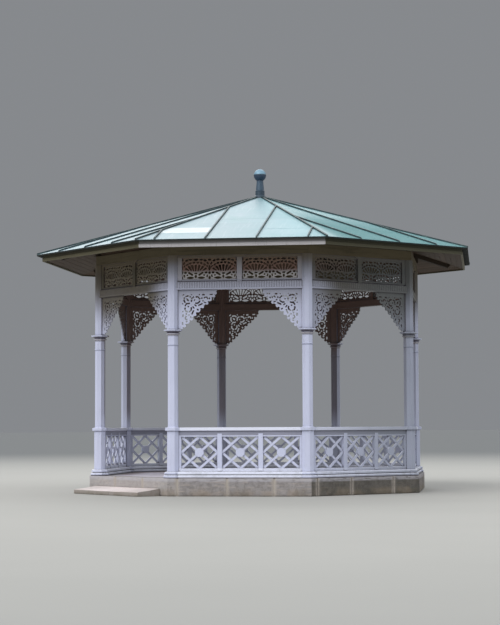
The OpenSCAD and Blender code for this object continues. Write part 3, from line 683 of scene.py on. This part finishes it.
def seam_finish():
    """Folded metal of the seams and hip caps, darker as painted shade, with a painted highlight on the
    arrises.
    """
    f = Finish("Folded seam metal", "seams", 0.45, metallic=0.35)
    bloom = f.cloud(7.0, 4.0, 0.6)
    f.lay(0.75 + bloom * 0.5)
    # Painted highlight on the arrises
    f.coat(f.arris(0.006, 2.5) * 0.5, (150, 168, 168))
    f.coat(bloom.rise(0.5, 0.7) * 0.35, (118, 140, 136))
    return f.done(0.4 + bloom * 0.2, f.relief(f.cloud(40.0, 2.0), 0.2, 0.003))


def finial_finish():
    """Blue painted metal: the ball paler above its seam and darker below, painted light and shade, the foot
    dark with runs.
    """
    f = Finish("Finial metal", "finial", 0.4, metallic=0.2)
    bloom = f.cloud(9.0, 4.0, 0.6)
    runs = f.streaks(f.x * 40.0, f.y * 40.0, f.z * 5.0, 3.0, 0.5)
    middle = FINIAL_TOP - sizes().ball_radius
    f.lay(0.8 + bloom * 0.4)
    f.coat(f.z.rise(SHEET_TIP + 0.16, SHEET_TIP + 0.1) * 0.5, (36, 50, 58))
    # Painted shade under the ball's seam and painted light above it
    f.coat(f.z.within(middle - 0.128, middle - 0.006) * 0.6, (44, 56, 82))
    lit_cap = f.z.rise(middle + 0.006, middle + 0.03) * (0.55 + bloom * 0.4)
    f.coat(lit_cap, (140, 178, 200))
    f.coat(f.z.within(middle - 0.004, middle + 0.008) * 0.8, (24, 32, 44))
    f.coat(runs.rise(0.55, 0.75) * 0.4, (40, 50, 58))
    return f.done(0.34 + bloom * 0.25, f.relief(bloom, 0.15, 0.003))


def stained_wood(name, body, grain, gain=1.0):
    """Dark stained softwood, dusty and uneven, with patches of pale dust."""
    f = Finish(name, body, 0.72, specular=0.25)
    across, along, deep = grain(f)
    fibre = f.streaks(across * 60.0, along * 3.0, deep * 60.0, 5.0, 0.62)
    rings = f.streaks(across * 14.0, along * 0.9, deep * 14.0, 3.0, 0.5, 0.6)
    patch = f.cloud(1.9, 4.0)
    dust = f.cloud(24.0, 3.0, 0.7)
    f.lay(gain * (0.6 + patch * 0.4 + fibre * 0.35))
    f.body_coat(rings.rise(0.52, 0.66) * 0.4, 0.5)
    f.body_coat(dust.rise(0.55, 0.75) * 0.3, 1.7, 0.02)
    return f.done(0.62 + fibre * 0.25, f.relief(fibre + rings * 0.5, 0.5, 0.003))


def soffit_finish():
    """Boards under the roof, each with its own tone, water marks towards the eaves, and darker inside the
    wall plate as painted shade.
    """
    f = Finish("Soffit boards", "soffit", 0.7, specular=0.25)
    tone = f.attribute("tone")
    along, out, number = f.bay()
    fibre = f.streaks(along * 2.6, out * 52.0, f.z * 20.0 + number, 5.0, 0.62)
    knots = f.cells(2.4, f.vector(along, out * 7.0, number))
    patch = f.cloud(2.1, 4.0)
    f.lay(0.62 + tone * 0.32 + fibre * 0.3 + patch * 0.12)
    f.coat(knots.rise(0.12, 0.02) * 0.7, (54, 40, 34))
    f.coat(patch.rise(0.55, 0.7) * out.rise(3.6, 4.4) * 0.4, (74, 70, 64))
    # Painted shade: the boards inside the wall plate are darker
    inside = out.rise(sizes().bay_line + 0.02, sizes().bay_line - 0.02)
    f.lay(1.0 - inside * 0.5, f.colour)
    return f.done(0.6 + fibre * 0.25, f.relief(fibre, 0.45, 0.002))


def studio_finish():
    """Plain pale studio floor with a very soft unevenness."""
    f = Finish("Studio floor", "floor", 0.9, specular=0.1)
    soft = f.cloud(0.35, 2.0)
    distance = f.node("ShaderNodeVectorMath", {"operation": "LENGTH"}, {"Vector": f.place}, "Value")
    f.lay(0.97 + soft * 0.06)
    f.coat(distance.rise(9.0, 60.0), (112, 115, 116))
    return f.done()


# Making pieces


def on_bay(bay, along, out, up):
    """Point in the plan from its place in a bay: bay 0 is the entrance."""
    turn = bay * TURN
    return Vector((along * math.cos(turn) + out * math.sin(turn),
                   along * math.sin(turn) - out * math.cos(turn), up))


def finish_piece(name, bm, material, replaces=(), smooth=None):
    """Adds a finished piece to the scene, where it rides on the bandstand."""
    bmesh.ops.recalc_face_normals(bm, faces=bm.faces)
    mesh = bpy.data.meshes.new(name)
    bm.to_mesh(mesh)
    bm.free()
    mesh.materials.append(material)
    if smooth is not None:
        mesh.shade_smooth()
        mesh.set_sharp_from_angle(angle=math.radians(smooth))
    piece = bpy.data.objects.new(name, mesh)
    bpy.context.scene.collection.objects.link(piece)
    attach(piece, "root")
    if replaces:
        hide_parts(*replaces)


def skin(bm, rings):
    """Faces from each ring of points to the next and over both ends. A ring may be one point."""
    for one, two in zip(rings, rings[1:]):
        for i in range(max(len(one), len(two))):
            j = i + 1
            loop = (one[i % len(one)], one[j % len(one)], two[j % len(two)], two[i % len(two)])
            bm.faces.new(list(dict.fromkeys(loop)))
    for ring in (rings[0], rings[-1]):
        if len(ring) > 2:
            bm.faces.new(ring)


def bar(bm, near, far):
    """Closed bar between two loops of the same number of points."""
    skin(bm, [[bm.verts.new(p) for p in loop] for loop in (near, far)])


def mitred_bar(bm, bay, section, gap=0.001):
    """Bar from hip to hip along a bay, from a closed section of out and up."""
    bar(bm, [on_bay(bay, -out * HIP + gap, out, up) for out, up in section],
        [on_bay(bay, out * HIP - gap, out, up) for out, up in section])


def paint_node(node, material):
    """Gives a CAD node its finish."""
    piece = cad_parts[node]
    for place in piece.material_slots:
        place.material = material


def paint_all(kind, count, finish):
    """Gives the CAD nodes of a kind, numbered from 1, their paint."""
    for number in range(1, count + 1):
        paint_node(f"{kind}_{number}", finish)


def rounded_section(depth, height, radius, cell):
    """Closed outline of a block in depth and height with rounded corners, in steps of a cell."""
    outline, arcs = [], []
    middles = [(radius, radius), (depth - radius, radius),
               (depth - radius, height - radius), (radius, height - radius)]
    for quarter, (x, y) in enumerate(middles):
        angles = [(quarter + 2 + i / 3) * math.pi / 2 for i in range(4)]
        arcs.append([(x + radius * math.cos(a), y + radius * math.sin(a)) for a in angles])
    for arc, following in zip(arcs, arcs[1:] + arcs[:1]):
        here, there = Vector(arc[-1]), Vector(following[0])
        steps = max(1, round((there - here).length / cell))
        outline += arc + [tuple(here.lerp(there, k / steps)) for k in range(1, steps)]
    return outline


class KerbStones(bpy.types.Operator):
    """Dressed kerb stones with mortar joints, turning the corners of the octagon"""
    bl_idname = "bandstand.kerb_stones"
    bl_label = "Kerb stones"

    # Places of the joints along each bay, from its middle
    JOINTS = {0: (-0.46, 0.55), 1: (-1.24, -0.243, 0.693), 2: (-1.28, -0.394, 0.715),
              3: (-1.19, -0.1, 0.86), 4: (-1.26, -0.31, 0.64), 5: (-1.14, -0.2, 0.78),
              6: (-1.22, -0.42, 0.58), 7: (-1.27, -0.05, 0.9)}

    # Cells of the mesh, worn edges, roughness of the faces, reach of the smeared mortar, depth of
    # its joints, and the part of half a bay's side beyond which a stone turns with the hip
    SECTION_CELL, CELL, END_CELL = 0.05, 0.045, 0.004
    ROUNDING, PULL = 0.014, 0.012
    ROUGH = 0.005
    SMEAR = 0.07
    JOINT_DEEP = 0.011
    HIP_PART = 0.84

    def execute(self, context):
        s = sizes()
        marks = sorted(bay + x / (2 * KERB_R * HIP) for bay, xs in self.JOINTS.items() for x in xs)
        bm = bmesh.new()
        layers = [bm.verts.layers.float.new(name) for name in ("tone", "joint")]
        section = rounded_section(s.kerb_width, FLOOR, self.ROUNDING, self.SECTION_CELL)
        for number, (start, end) in enumerate(zip(marks, marks[1:] + [marks[0] + SIDES]), 1):
            self.stone(bm, self.stations(start, end, s), section, s.kerb_width, number, layers)
        finish_piece("kerb_stones", bm, kerb_stone_finish(), ("stone_plinth",), smooth=48)
        self.mortar(s)
        return {"FINISHED"}

    def stone(self, bm, stations, section, depth, seed, layers):
        """Stone swept along stations of outer point, inner point, pull and nearness to a joint."""
        tone = random.Random(seed).random()
        shift = Vector((seed * 3.1, seed * 1.7, seed * 0.9))
        middle = Vector((depth / 2, FLOOR / 2))
        rings = []
        for outer, inner, pull, nearness in stations:
            ring = []
            for d, h in section:
                flat = Vector((d, h))
                lump = noise.noise((outer + Vector((0, 0, h))) * 5.0 + shift)
                chip = noise.noise((outer + Vector((d, 0, h))) * 19.0 + shift)
                rough = self.ROUGH * (0.5 + 0.5 * lump + 0.35 * abs(chip))
                flat += (middle - flat).normalized() * (pull + rough)
                place = outer.lerp(inner, min(1.0, max(0.0, flat.x / depth)))
                vert = bm.verts.new((place.x, place.y, max(0.0, flat.y)))
                for layer, value in zip(layers, (tone, nearness)):
                    vert[layer] = value
                ring.append(vert)
            rings.append(ring)
        skin(bm, rings)

    def stations(self, start, end, s):
        """Points along a stone, closer together at its ends, where it is rounded."""
        side = 2 * KERB_R * HIP
        gap = s.stone_joint / 2 / side
        ends = [0.0, self.END_CELL / side, self.ROUNDING / side]
        places = [start + gap + e for e in ends] + [end - gap - e for e in ends]
        inner_start, inner_end = start + gap + ends[-1], end - gap - ends[-1]
        count = max(2, round((inner_end - inner_start) * side / self.CELL))
        places += [inner_start + (inner_end - inner_start) * i / count for i in range(1, count)]
        places += [k + 0.5 for k in range(-1, SIDES + 1) if inner_start < k + 0.5 < inner_end]
        back = KERB_R - s.kerb_width
        made = []
        for t in sorted(set(round(p, 6) for p in places)):
            bay = math.floor(t + 0.5)
            along = (t - bay) * side
            near_hip = abs(along) > side / 2 * self.HIP_PART
            outer = on_bay(bay, along, KERB_R, 0)
            inner = on_bay(bay, along * back / KERB_R if near_hip else along, back, 0)
            edge = min(t - start - gap, end - gap - t) * side
            pull = self.PULL * max(0.0, 1 - edge / self.ROUNDING) ** 2
            made.append((outer, inner, pull, max(0.0, 1 - edge / self.SMEAR)))
        return made

    def mortar(self, s):
        """Mortar that fills the joints up to a little below the faces of the stones."""
        bm = bmesh.new()
        front, back = KERB_R - self.JOINT_DEEP, KERB_R - s.kerb_width + self.JOINT_DEEP
        top = FLOOR - self.JOINT_DEEP
        for bay in range(SIDES):
            mitred_bar(bm, bay, [(back, 0.0), (front, 0.0), (front, top), (back, top)])
        finish_piece("kerb_mortar", bm, mortar_finish())


class EntranceStep(bpy.types.Operator):
    """Two worn slabs of the entrance step"""
    bl_idname = "bandstand.entrance_step"
    bl_label = "Entrance step"

    # Both sides of the joint, height of the front, cells of the mesh, worn edges and worn middle
    JOINT = 0.13, 0.138
    FRONT = 0.088
    SECTION_CELL, CELL = 0.035, 0.045
    ROUNDING = 0.016
    PULL, PULL_REACH = 0.008, 0.02
    WORN, WORN_REACH = 0.007, 0.6
    ROUGH = 0.003

    def execute(self, context):
        bm = bmesh.new()
        self.slab(bm, STEP_LOW.x, self.JOINT[0], 0)
        self.slab(bm, self.JOINT[1], STEP_HIGH.x, 1)
        finish_piece("step_slabs", bm, step_finish(), ("entrance_step",), smooth=50)
        return {"FINISHED"}

    def slab(self, bm, left, right, seed):
        """Slab whose top falls outward, so that water runs off it."""
        depth, height = STEP_HIGH.y - STEP_LOW.y, STEP_HIGH.z
        middle = Vector((depth / 2, height / 2))
        section = rounded_section(depth, height, self.ROUNDING, self.SECTION_CELL)
        count = round((right - left) / self.CELL)
        rings = []
        for i in range(count + 1):
            x = left + (right - left) * i / count
            pull = self.PULL * max(0.0, 1 - min(x - left, right - x) / self.PULL_REACH)
            worn = self.WORN * math.exp(-(x / self.WORN_REACH) ** 2)
            ring = []
            for d, h in section:
                lump = 0.5 + 0.5 * noise.noise(Vector((x * 6, d * 6, h * 6 + seed * 5)))
                flat = Vector((d, h))
                flat += (middle - flat).normalized() * (pull + self.ROUGH * lump)
                dip = worn * max(0.0, (h - height * 0.7) / (height * 0.3)) * (1.0 - 0.5 * d / depth)
                fall = (self.FRONT + (height - self.FRONT) * d / depth) / height
                ring.append(bm.verts.new((x, STEP_LOW.y + flat.x, max(0.0, (flat.y - dip) * fall))))
            rings.append(ring)
        skin(bm, rings)


def clip(polygon, normal, limit):
    """Part of a flat polygon on the near side of a line."""
    kept = []
    for i, here in enumerate(polygon):
        there = polygon[(i + 1) % len(polygon)]
        a, b = here.dot(normal) - limit, there.dot(normal) - limit
        if a <= 0:
            kept.append(here)
        if (a < 0 < b) or (b < 0 < a):
            kept.append(here.lerp(there, a / (a - b)))
    return kept


class Paving(bpy.types.Operator):
    """Square slabs laid in rows square to the entrance, cut to the octagon, on a mortar bed"""
    bl_idname = "bandstand.paving"
    bl_label = "Paving slabs"

    # Room to the kerb, thickness, inset and drop of the worn edge, and uneven laying
    ROOM = 0.002
    THICK = 0.02
    EDGE = ((0.0, 0.004), (0.003, 0.001), (0.008, 0.0))
    SUNK, UNEVEN = 0.0005, 0.002
    BED_SUNK, BED_MIDDLE = 0.009, 0.01

    def execute(self, context):
        s = sizes()
        bm = bmesh.new()
        tone_layer = bm.verts.layers.float.new("tone")
        count = math.ceil(PAVING_R / s.slab_side)
        for i in range(-count, count):
            for j in range(-count, count):
                slab = self.outline(i, j, s)
                if len(slab) > 2:
                    self.lay(bm, slab, i, j, tone_layer)
        finish_piece("paving_slabs", bm, paving_finish(), ("floor",))
        bed = bmesh.new()
        middle, top = self.BED_MIDDLE, FLOOR - self.BED_SUNK
        for bay in range(SIDES):
            mitred_bar(bed, bay, [(middle, 0.0), (PAVING_R, 0.0), (PAVING_R, top), (middle, top)], 0.0)
        mortar = bpy.data.materials.get("Lime mortar") or mortar_finish()
        finish_piece("paving_bed", bed, mortar)
        return {"FINISHED"}

    def outline(self, i, j, s):
        """Square slab cut to the octagon."""
        half = s.slab_joint / 2
        low = Vector((i * s.slab_side + half, j * s.slab_side + half))
        high = Vector(((i + 1) * s.slab_side - half, (j + 1) * s.slab_side - half))
        slab = [low, Vector((high.x, low.y)), high, Vector((low.x, high.y))]
        for bay in range(SIDES):
            slab = clip(slab, on_bay(bay, 0, 1, 0).to_2d(), PAVING_R - self.ROOM)
        return slab

    def lay(self, bm, slab, i, j, tone_layer):
        """Slab with a worn edge, at its own tone and height."""
        dice = random.Random(i * 31 + j)
        tone = dice.random()
        top = FLOOR - self.SUNK - dice.random() * self.UNEVEN
        middle = sum(slab, Vector((0, 0))) / len(slab)
        rings = []
        for inset, up in [(0.0, FLOOR - self.THICK)] + [(i, top - drop) for i, drop in self.EDGE]:
            ring = []
            for p in slab:
                q = p + (middle - p).normalized() * inset
                vert = bm.verts.new((q.x, q.y, up))
                vert[tone_layer] = tone
                ring.append(vert)
            rings.append(ring)
        skin(bm, rings)


class Posts(bpy.types.Operator):
    """Painted octagonal posts"""
    bl_idname = "bandstand.posts"
    bl_label = "Posts"

    def execute(self, context):
        paint_all("post", SIDES, brushed_paint("Painted posts", upright_grain, FLOOR + 3.15, capital_marks))
        return {"FINISHED"}


class Balustrades(bpy.types.Operator):
    """Painted balustrades with their lattice panels"""
    bl_idname = "bandstand.balustrades"
    bl_label = "Balustrades"

    def execute(self, context):
        paint = brushed_paint("Painted balustrades", balustrade_grain, FLOOR + 3.35, rail_marks)
        paint_all("balustrade", SIDES - 1, paint)
        return {"FINISHED"}


class Friezes(bpy.types.Operator):
    """Painted friezes and beams, with fine upright ribs along the face of each beam"""
    bl_idname = "bandstand.friezes"
    bl_label = "Friezes and beams"

    # Height from which dust and painted shade under the eaves darken the beams, and room beside the ribs at
    # the posts
    EAVE_DUST_SHADE_FROM = FLOOR + 2.95
    END_ROOM = 0.05

    def execute(self, context):
        s = sizes()
        paint_all("frieze", SIDES, brushed_paint("Painted friezes", bay_grain, self.EAVE_DUST_SHADE_FROM, fret_marks))
        bm = bmesh.new()
        room = s.bay_width - s.post_width - self.END_ROOM
        count = round(room / s.rib_pitch)
        for bay in range(SIDES):
            for i in range(count + 1):
                self.rib(bm, bay, (i / count - 0.5) * room, s)
        paint = brushed_paint("Painted ribs", upright_grain, self.EAVE_DUST_SHADE_FROM)
        finish_piece("beam_ribs", bm, paint)
        return {"FINISHED"}

    def rib(self, bm, bay, middle, s):
        """Rounded rib from the lip of a beam to its top, a little thinner there."""
        face = s.bay_line + s.beam_thickness / 2
        half, rooted, thinner = s.rib_pitch * 0.36, -0.002, 0.9
        shoulder = half * 0.62, s.rib_depth * 0.8
        plan = [(-half, rooted), (-shoulder[0], shoulder[1]), (0, s.rib_depth), shoulder, (half, rooted)]
        low = BEAM_TOP - s.beam_height + s.lip_height
        bar(bm, [on_bay(bay, middle + x, face + out, low) for x, out in plan],
            [on_bay(bay, middle + x, face + out * thinner, BEAM_TOP) for x, out in plan])


class Brackets(bpy.types.Operator):
    """Painted fretwork brackets between the posts and the beams"""
    bl_idname = "bandstand.brackets"
    bl_label = "Brackets"

    def execute(self, context):
        paint = brushed_paint("Painted brackets", upright_grain, FLOOR + 2.75, bracket_marks)
        paint_all("brackets", SIDES, paint)
        return {"FINISHED"}


class Eaves(bpy.types.Operator):
    """Wall plate, boards above it, fascia and the bead along the foot of the fascia"""
    bl_idname = "bandstand.eaves"
    bl_label = "Eaves"

    def execute(self, context):
        # The wall plate takes the colour of dust and painted shade under the eaves
        paint_node("wall_plate", stained_wood("Wall plate wood", "eave_dust_shade_colour", bay_grain, 1.4))
        paint_node("eaves_boards", stained_wood("Eaves boards", "soffit", bay_grain, 1.65))
        fascia = fascia_paint()
        paint_node("fascia", fascia)
        bead = ((-0.012, -0.004), (0.007, -0.004), (0.013, 0.004), (0.013, 0.058), (0.009, 0.068),
                (-0.012, 0.072))
        bm = bmesh.new()
        for bay in range(SIDES):
            mitred_bar(bm, bay, [(FASCIA_R + out, FASCIA_LOW + up) for out, up in bead])
        finish_piece("fascia_bead", bm, fascia)
        return {"FINISHED"}


class Soffit(bpy.types.Operator):
    """Boards under the roof, laid along the eaves, outside and inside the wall plate"""
    bl_idname = "bandstand.soffit"
    bl_label = "Soffit boards"

    def execute(self, context):
        s = sizes()
        bm = bmesh.new()
        tone_layer = bm.verts.layers.float.new("tone")
        plate_half, middle = 0.0175, 0.16
        fields = [(s.bay_line + plate_half, LINING_R - 0.001), (middle, s.bay_line - plate_half)]
        for bay in range(SIDES):
            for inner, outer in fields:
                count = round((outer - inner) / s.soffit_board)
                width = (outer - inner) / count
                for k in range(count):
                    dice = random.Random(bay * 101 + k)
                    self.board(bm, bay, inner + k * width, width, dice, tone_layer)
        finish_piece("soffit_boards", bm, soffit_finish())
        paint_node("roof_lining", stained_wood("Roof lining", "rafters", bay_grain))
        return {"FINISHED"}

    def board(self, bm, bay, start, width, dice, tone_layer):
        """Board with its lower arrises cut, which lies against the lining."""
        slope = math.tan(sizes().pitch)
        tip = SOFFIT_LOW + LINING_R * slope
        gap, into, cut = 0.0015, 0.004, 0.004
        thickness, uneven = 0.009, 0.0015
        a, b = start + gap, start + width - gap
        drop = thickness + dice.random() * uneven
        corners = ((a, -into), (b, -into), (b, drop - cut), (b - cut, drop),
                   (a + cut, drop), (a, drop - cut))
        first = len(bm.verts)
        mitred_bar(bm, bay, [(out, tip - out * slope - below) for out, below in corners], 0.002)
        bm.verts.ensure_lookup_table()
        tone = dice.random()
        for vert in bm.verts[first:]:
            vert[tone_layer] = tone


class Rafters(bpy.types.Operator):
    """Hip rafters and the post that hangs in the middle of the roof"""
    bl_idname = "bandstand.rafters"
    bl_label = "Rafters"

    def execute(self, context):
        paint_node("hip_rafters", stained_wood("Hip rafters", "rafters", hip_grain))
        paint_node("king_post", stained_wood("King post", "rafters", upright_grain, 1.2))
        return {"FINISHED"}


class RoofMetal(bpy.types.Operator):
    """Roof sheets with their cross welts, standing seams and hip caps"""
    bl_idname = "bandstand.roof_metal"
    bl_label = "Roof metal"

    # Distance of the upper welts from the middle of the roof, and how far down every second one is
    WELT_HIGH, WELT_DROP = 2.55, 0.86

    # Section of a welt, out and up, and its room to the hips and seams
    SECTION = ((0.0, -0.002), (0.004, 0.003), (0.02, 0.004), (0.026, -0.002))
    HIP_ROOM, END_ROOM = 0.02, 0.012

    def execute(self, context):
        sheet = roof_finish()
        paint_node("roof_sheets", sheet)
        paint_node("roof_seams", seam_finish())
        bm = bmesh.new()
        for bay in range(SIDES):
            seams = (-1.5, -0.5, 0.5, 1.5) if bay % 2 else (-1.0, 0.0, 1.0)
            for i, (left, right) in enumerate(zip(seams, seams[1:])):
                self.welt(bm, bay, left, right, self.WELT_HIGH + (i + bay) % 2 * self.WELT_DROP)
        self.welt(bm, MENDED_AND_LIT, -1.5, -0.5, WELT_OUT)
        finish_piece("cross_welts", bm, sheet)
        return {"FINISHED"}

    def welt(self, bm, bay, left, right, out):
        """Folded joint across the slope, from one standing seam to the next."""
        s = sizes()
        left, right = left * s.seam_pitch, right * s.seam_pitch
        reach = max(abs(left), abs(right)) / HIP
        if reach < EAVES_R - 0.2:
            out = max(out, reach + self.HIP_ROOM)

        def end(x):
            start = max(out, (abs(x) + self.HIP_ROOM) / HIP)
            return [on_bay(bay, x, start + d, SHEET_TIP - (start + d) * math.tan(s.pitch) + up)
                    for d, up in self.SECTION]

        limit = (out - 0.03) * HIP
        bar(bm, end(max(left, -limit) + self.END_ROOM), end(min(right, limit) - self.END_ROOM))


class Finial(bpy.types.Operator):
    """Turned sheet metal finial: foot, tapering stem and seamed ball"""
    bl_idname = "bandstand.finial"
    bl_label = "Finial"

    # Radius and height above the tip of the roof, from the flashing up to the head of the stem
    STEM = ((0.0, -0.05), (0.15, -0.04), (0.126, 0.0), (0.112, 0.014), (0.106, 0.024), (0.1, 0.03),
            (0.0985, 0.112), (0.102, 0.116), (0.102, 0.125), (0.096, 0.13), (0.089, 0.134),
            (0.087, 0.17), (0.081, 0.23), (0.075, 0.29), (0.072, 0.33))
    AROUND, RISES = 72, 24
    SEAM, SEAM_FAT = 0.026, 1.014

    def execute(self, context):
        r = sizes().ball_radius
        ball = FINIAL_TOP - SHEET_TIP - r
        start = -math.acos(self.STEM[-1][0] / r)
        turns = [start + (math.pi / 2 - start) * i / self.RISES for i in range(self.RISES)]
        turns = [t for t in turns if abs(t) > 2 * self.SEAM] + [k * self.SEAM for k in (-1.6, -1, 1, 1.6)]
        profile = [p for p in self.STEM if p[1] < ball + r * math.sin(start) - 0.004]
        for turn in sorted(turns):
            fat = self.SEAM_FAT if abs(turn) < 1.1 * self.SEAM else 1.0
            profile.append((r * math.cos(turn) * fat, ball + r * math.sin(turn)))
        profile.append((0.0, ball + r))
        bm = bmesh.new()
        rings = []
        for radius, up in profile:
            count = self.AROUND if radius else 1
            angles = [math.tau * k / count for k in range(count)]
            rings.append([bm.verts.new((radius * math.cos(a), radius * math.sin(a), SHEET_TIP + up))
                          for a in angles])
        skin(bm, rings)
        finish_piece("finial_turned", bm, finial_finish(), ("finial",), smooth=32)
        return {"FINISHED"}


class Studio(bpy.types.Operator):
    """Pale floor, soft studio light and the camera"""
    bl_idname = "bandstand.studio"
    bl_label = "Studio"

    def execute(self, context):
        self.ground()
        self.light()
        self.camera()
        return {"FINISHED"}

    def ground(self):
        """Wide floor, a little under the foot of the kerb."""
        bm = bmesh.new()
        bmesh.ops.create_grid(bm, x_segments=8, y_segments=8, size=400.0)
        mesh = bpy.data.meshes.new("studio_floor")
        bm.to_mesh(mesh)
        bm.free()
        mesh.materials.append(studio_finish())
        floor = bpy.data.objects.new("studio_floor", mesh)
        floor.location.z = -0.001
        bpy.context.scene.collection.objects.link(floor)

    def light(self):
        """Even air and four soft suns, each with its azimuth, height, strength and spread."""
        world = bpy.data.worlds.new("Studio air")
        world.use_nodes = True
        air = world.node_tree.nodes["Background"]
        air.inputs["Color"].default_value = (0.24, 0.25, 0.265, 1.0)
        air.inputs["Strength"].default_value = 1.0
        bpy.context.scene.world = world
        bpy.context.scene.view_settings.view_transform = "Standard"
        for name, azimuth, height, strength, spread, colour in (
                ("Overhead softbox", 40, 82, 1.35, 150, (0.95, 0.97, 1.0)),
                ("Key light", 12, 44, 2.0, 60, (1.0, 0.98, 0.96)),
                ("Side light", 135, 16, 0.5, 60, (0.98, 0.98, 1.0)),
                ("Back light", 236, 38, 0.9, 50, (1.0, 0.98, 0.96))):
            lamp = bpy.data.lights.new(name, "SUN")
            lamp.energy = strength
            lamp.angle = math.radians(spread)
            lamp.color = colour
            holder = bpy.data.objects.new(name, lamp)
            a, e = math.radians(azimuth), math.radians(height)
            back = Vector((math.sin(a) * math.cos(e), -math.cos(a) * math.cos(e), math.sin(e)))
            holder.location = back * 20
            holder.rotation_mode = "QUATERNION"
            holder.rotation_quaternion = back.to_track_quat("Z", "Y")
            bpy.context.scene.collection.objects.link(holder)

    def camera(self):
        """Long lens at the height of the eye, from far away in front of the mended bay."""
        away, azimuth, eye = 38.45, math.radians(52.27), 1.371
        heading = azimuth + math.radians(0.341)
        lift, roll = math.radians(3.687), math.radians(-0.236)
        view = Vector((-math.sin(heading), math.cos(heading), math.tan(lift))).normalized()
        right = view.cross(Vector((0, 0, 1))).normalized()
        up = right.cross(view)
        tilted = right * math.cos(roll) + up * math.sin(roll)
        upward = up * math.cos(roll) - right * math.sin(roll)
        cam = bpy.data.cameras.new("Camera")
        cam.lens = 102.03
        cam.sensor_width = 36.0
        cam.clip_start, cam.clip_end = 0.5, 1500.0
        holder = bpy.data.objects.new("Camera", cam)
        place = Vector((math.sin(azimuth) * away, -math.cos(azimuth) * away, eye))
        axes = Matrix((tilted, upward, -view)).transposed()
        holder.matrix_world = Matrix.Translation(place) @ axes.to_4x4()
        bpy.context.scene.collection.objects.link(holder)
        bpy.context.scene.camera = holder


OPERATORS = (Studio, KerbStones, EntranceStep, Paving, Posts, Balustrades, Friezes, Brackets, Eaves,
             Soffit, Rafters, RoofMetal, Finial)


class BandstandPanel(bpy.types.Panel):
    """Lists the pieces of the bandstand"""
    bl_idname = "VIEW3D_PT_bandstand"
    bl_label = "Bandstand"
    bl_space_type = "VIEW_3D"
    bl_region_type = "UI"
    bl_category = "Bandstand"

    def draw(self, context):
        layout = self.layout
        for group in (context.scene.bandstand_sizes, context.scene.bandstand_colours):
            box = layout.box()
            for name in group.__annotations__:
                box.prop(group, name)
        for operator in OPERATORS:
            layout.operator(operator.bl_idname)


CLASSES = (BandstandSizes, BandstandColours, *OPERATORS, BandstandPanel)


def register():
    for item in CLASSES:
        bpy.utils.register_class(item)
    bpy.types.Scene.bandstand_sizes = bpy.props.PointerProperty(type=BandstandSizes)
    bpy.types.Scene.bandstand_colours = bpy.props.PointerProperty(type=BandstandColours)


def unregister():
    del bpy.types.Scene.bandstand_colours
    del bpy.types.Scene.bandstand_sizes
    for item in reversed(CLASSES):
        bpy.utils.unregister_class(item)


def main():
    register()
    for operator in OPERATORS:
        group, call = operator.bl_idname.split(".")
        getattr(getattr(bpy.ops, group), call)()
    bpy.context.view_layer.update()


if __name__ == "__main__":
    main()
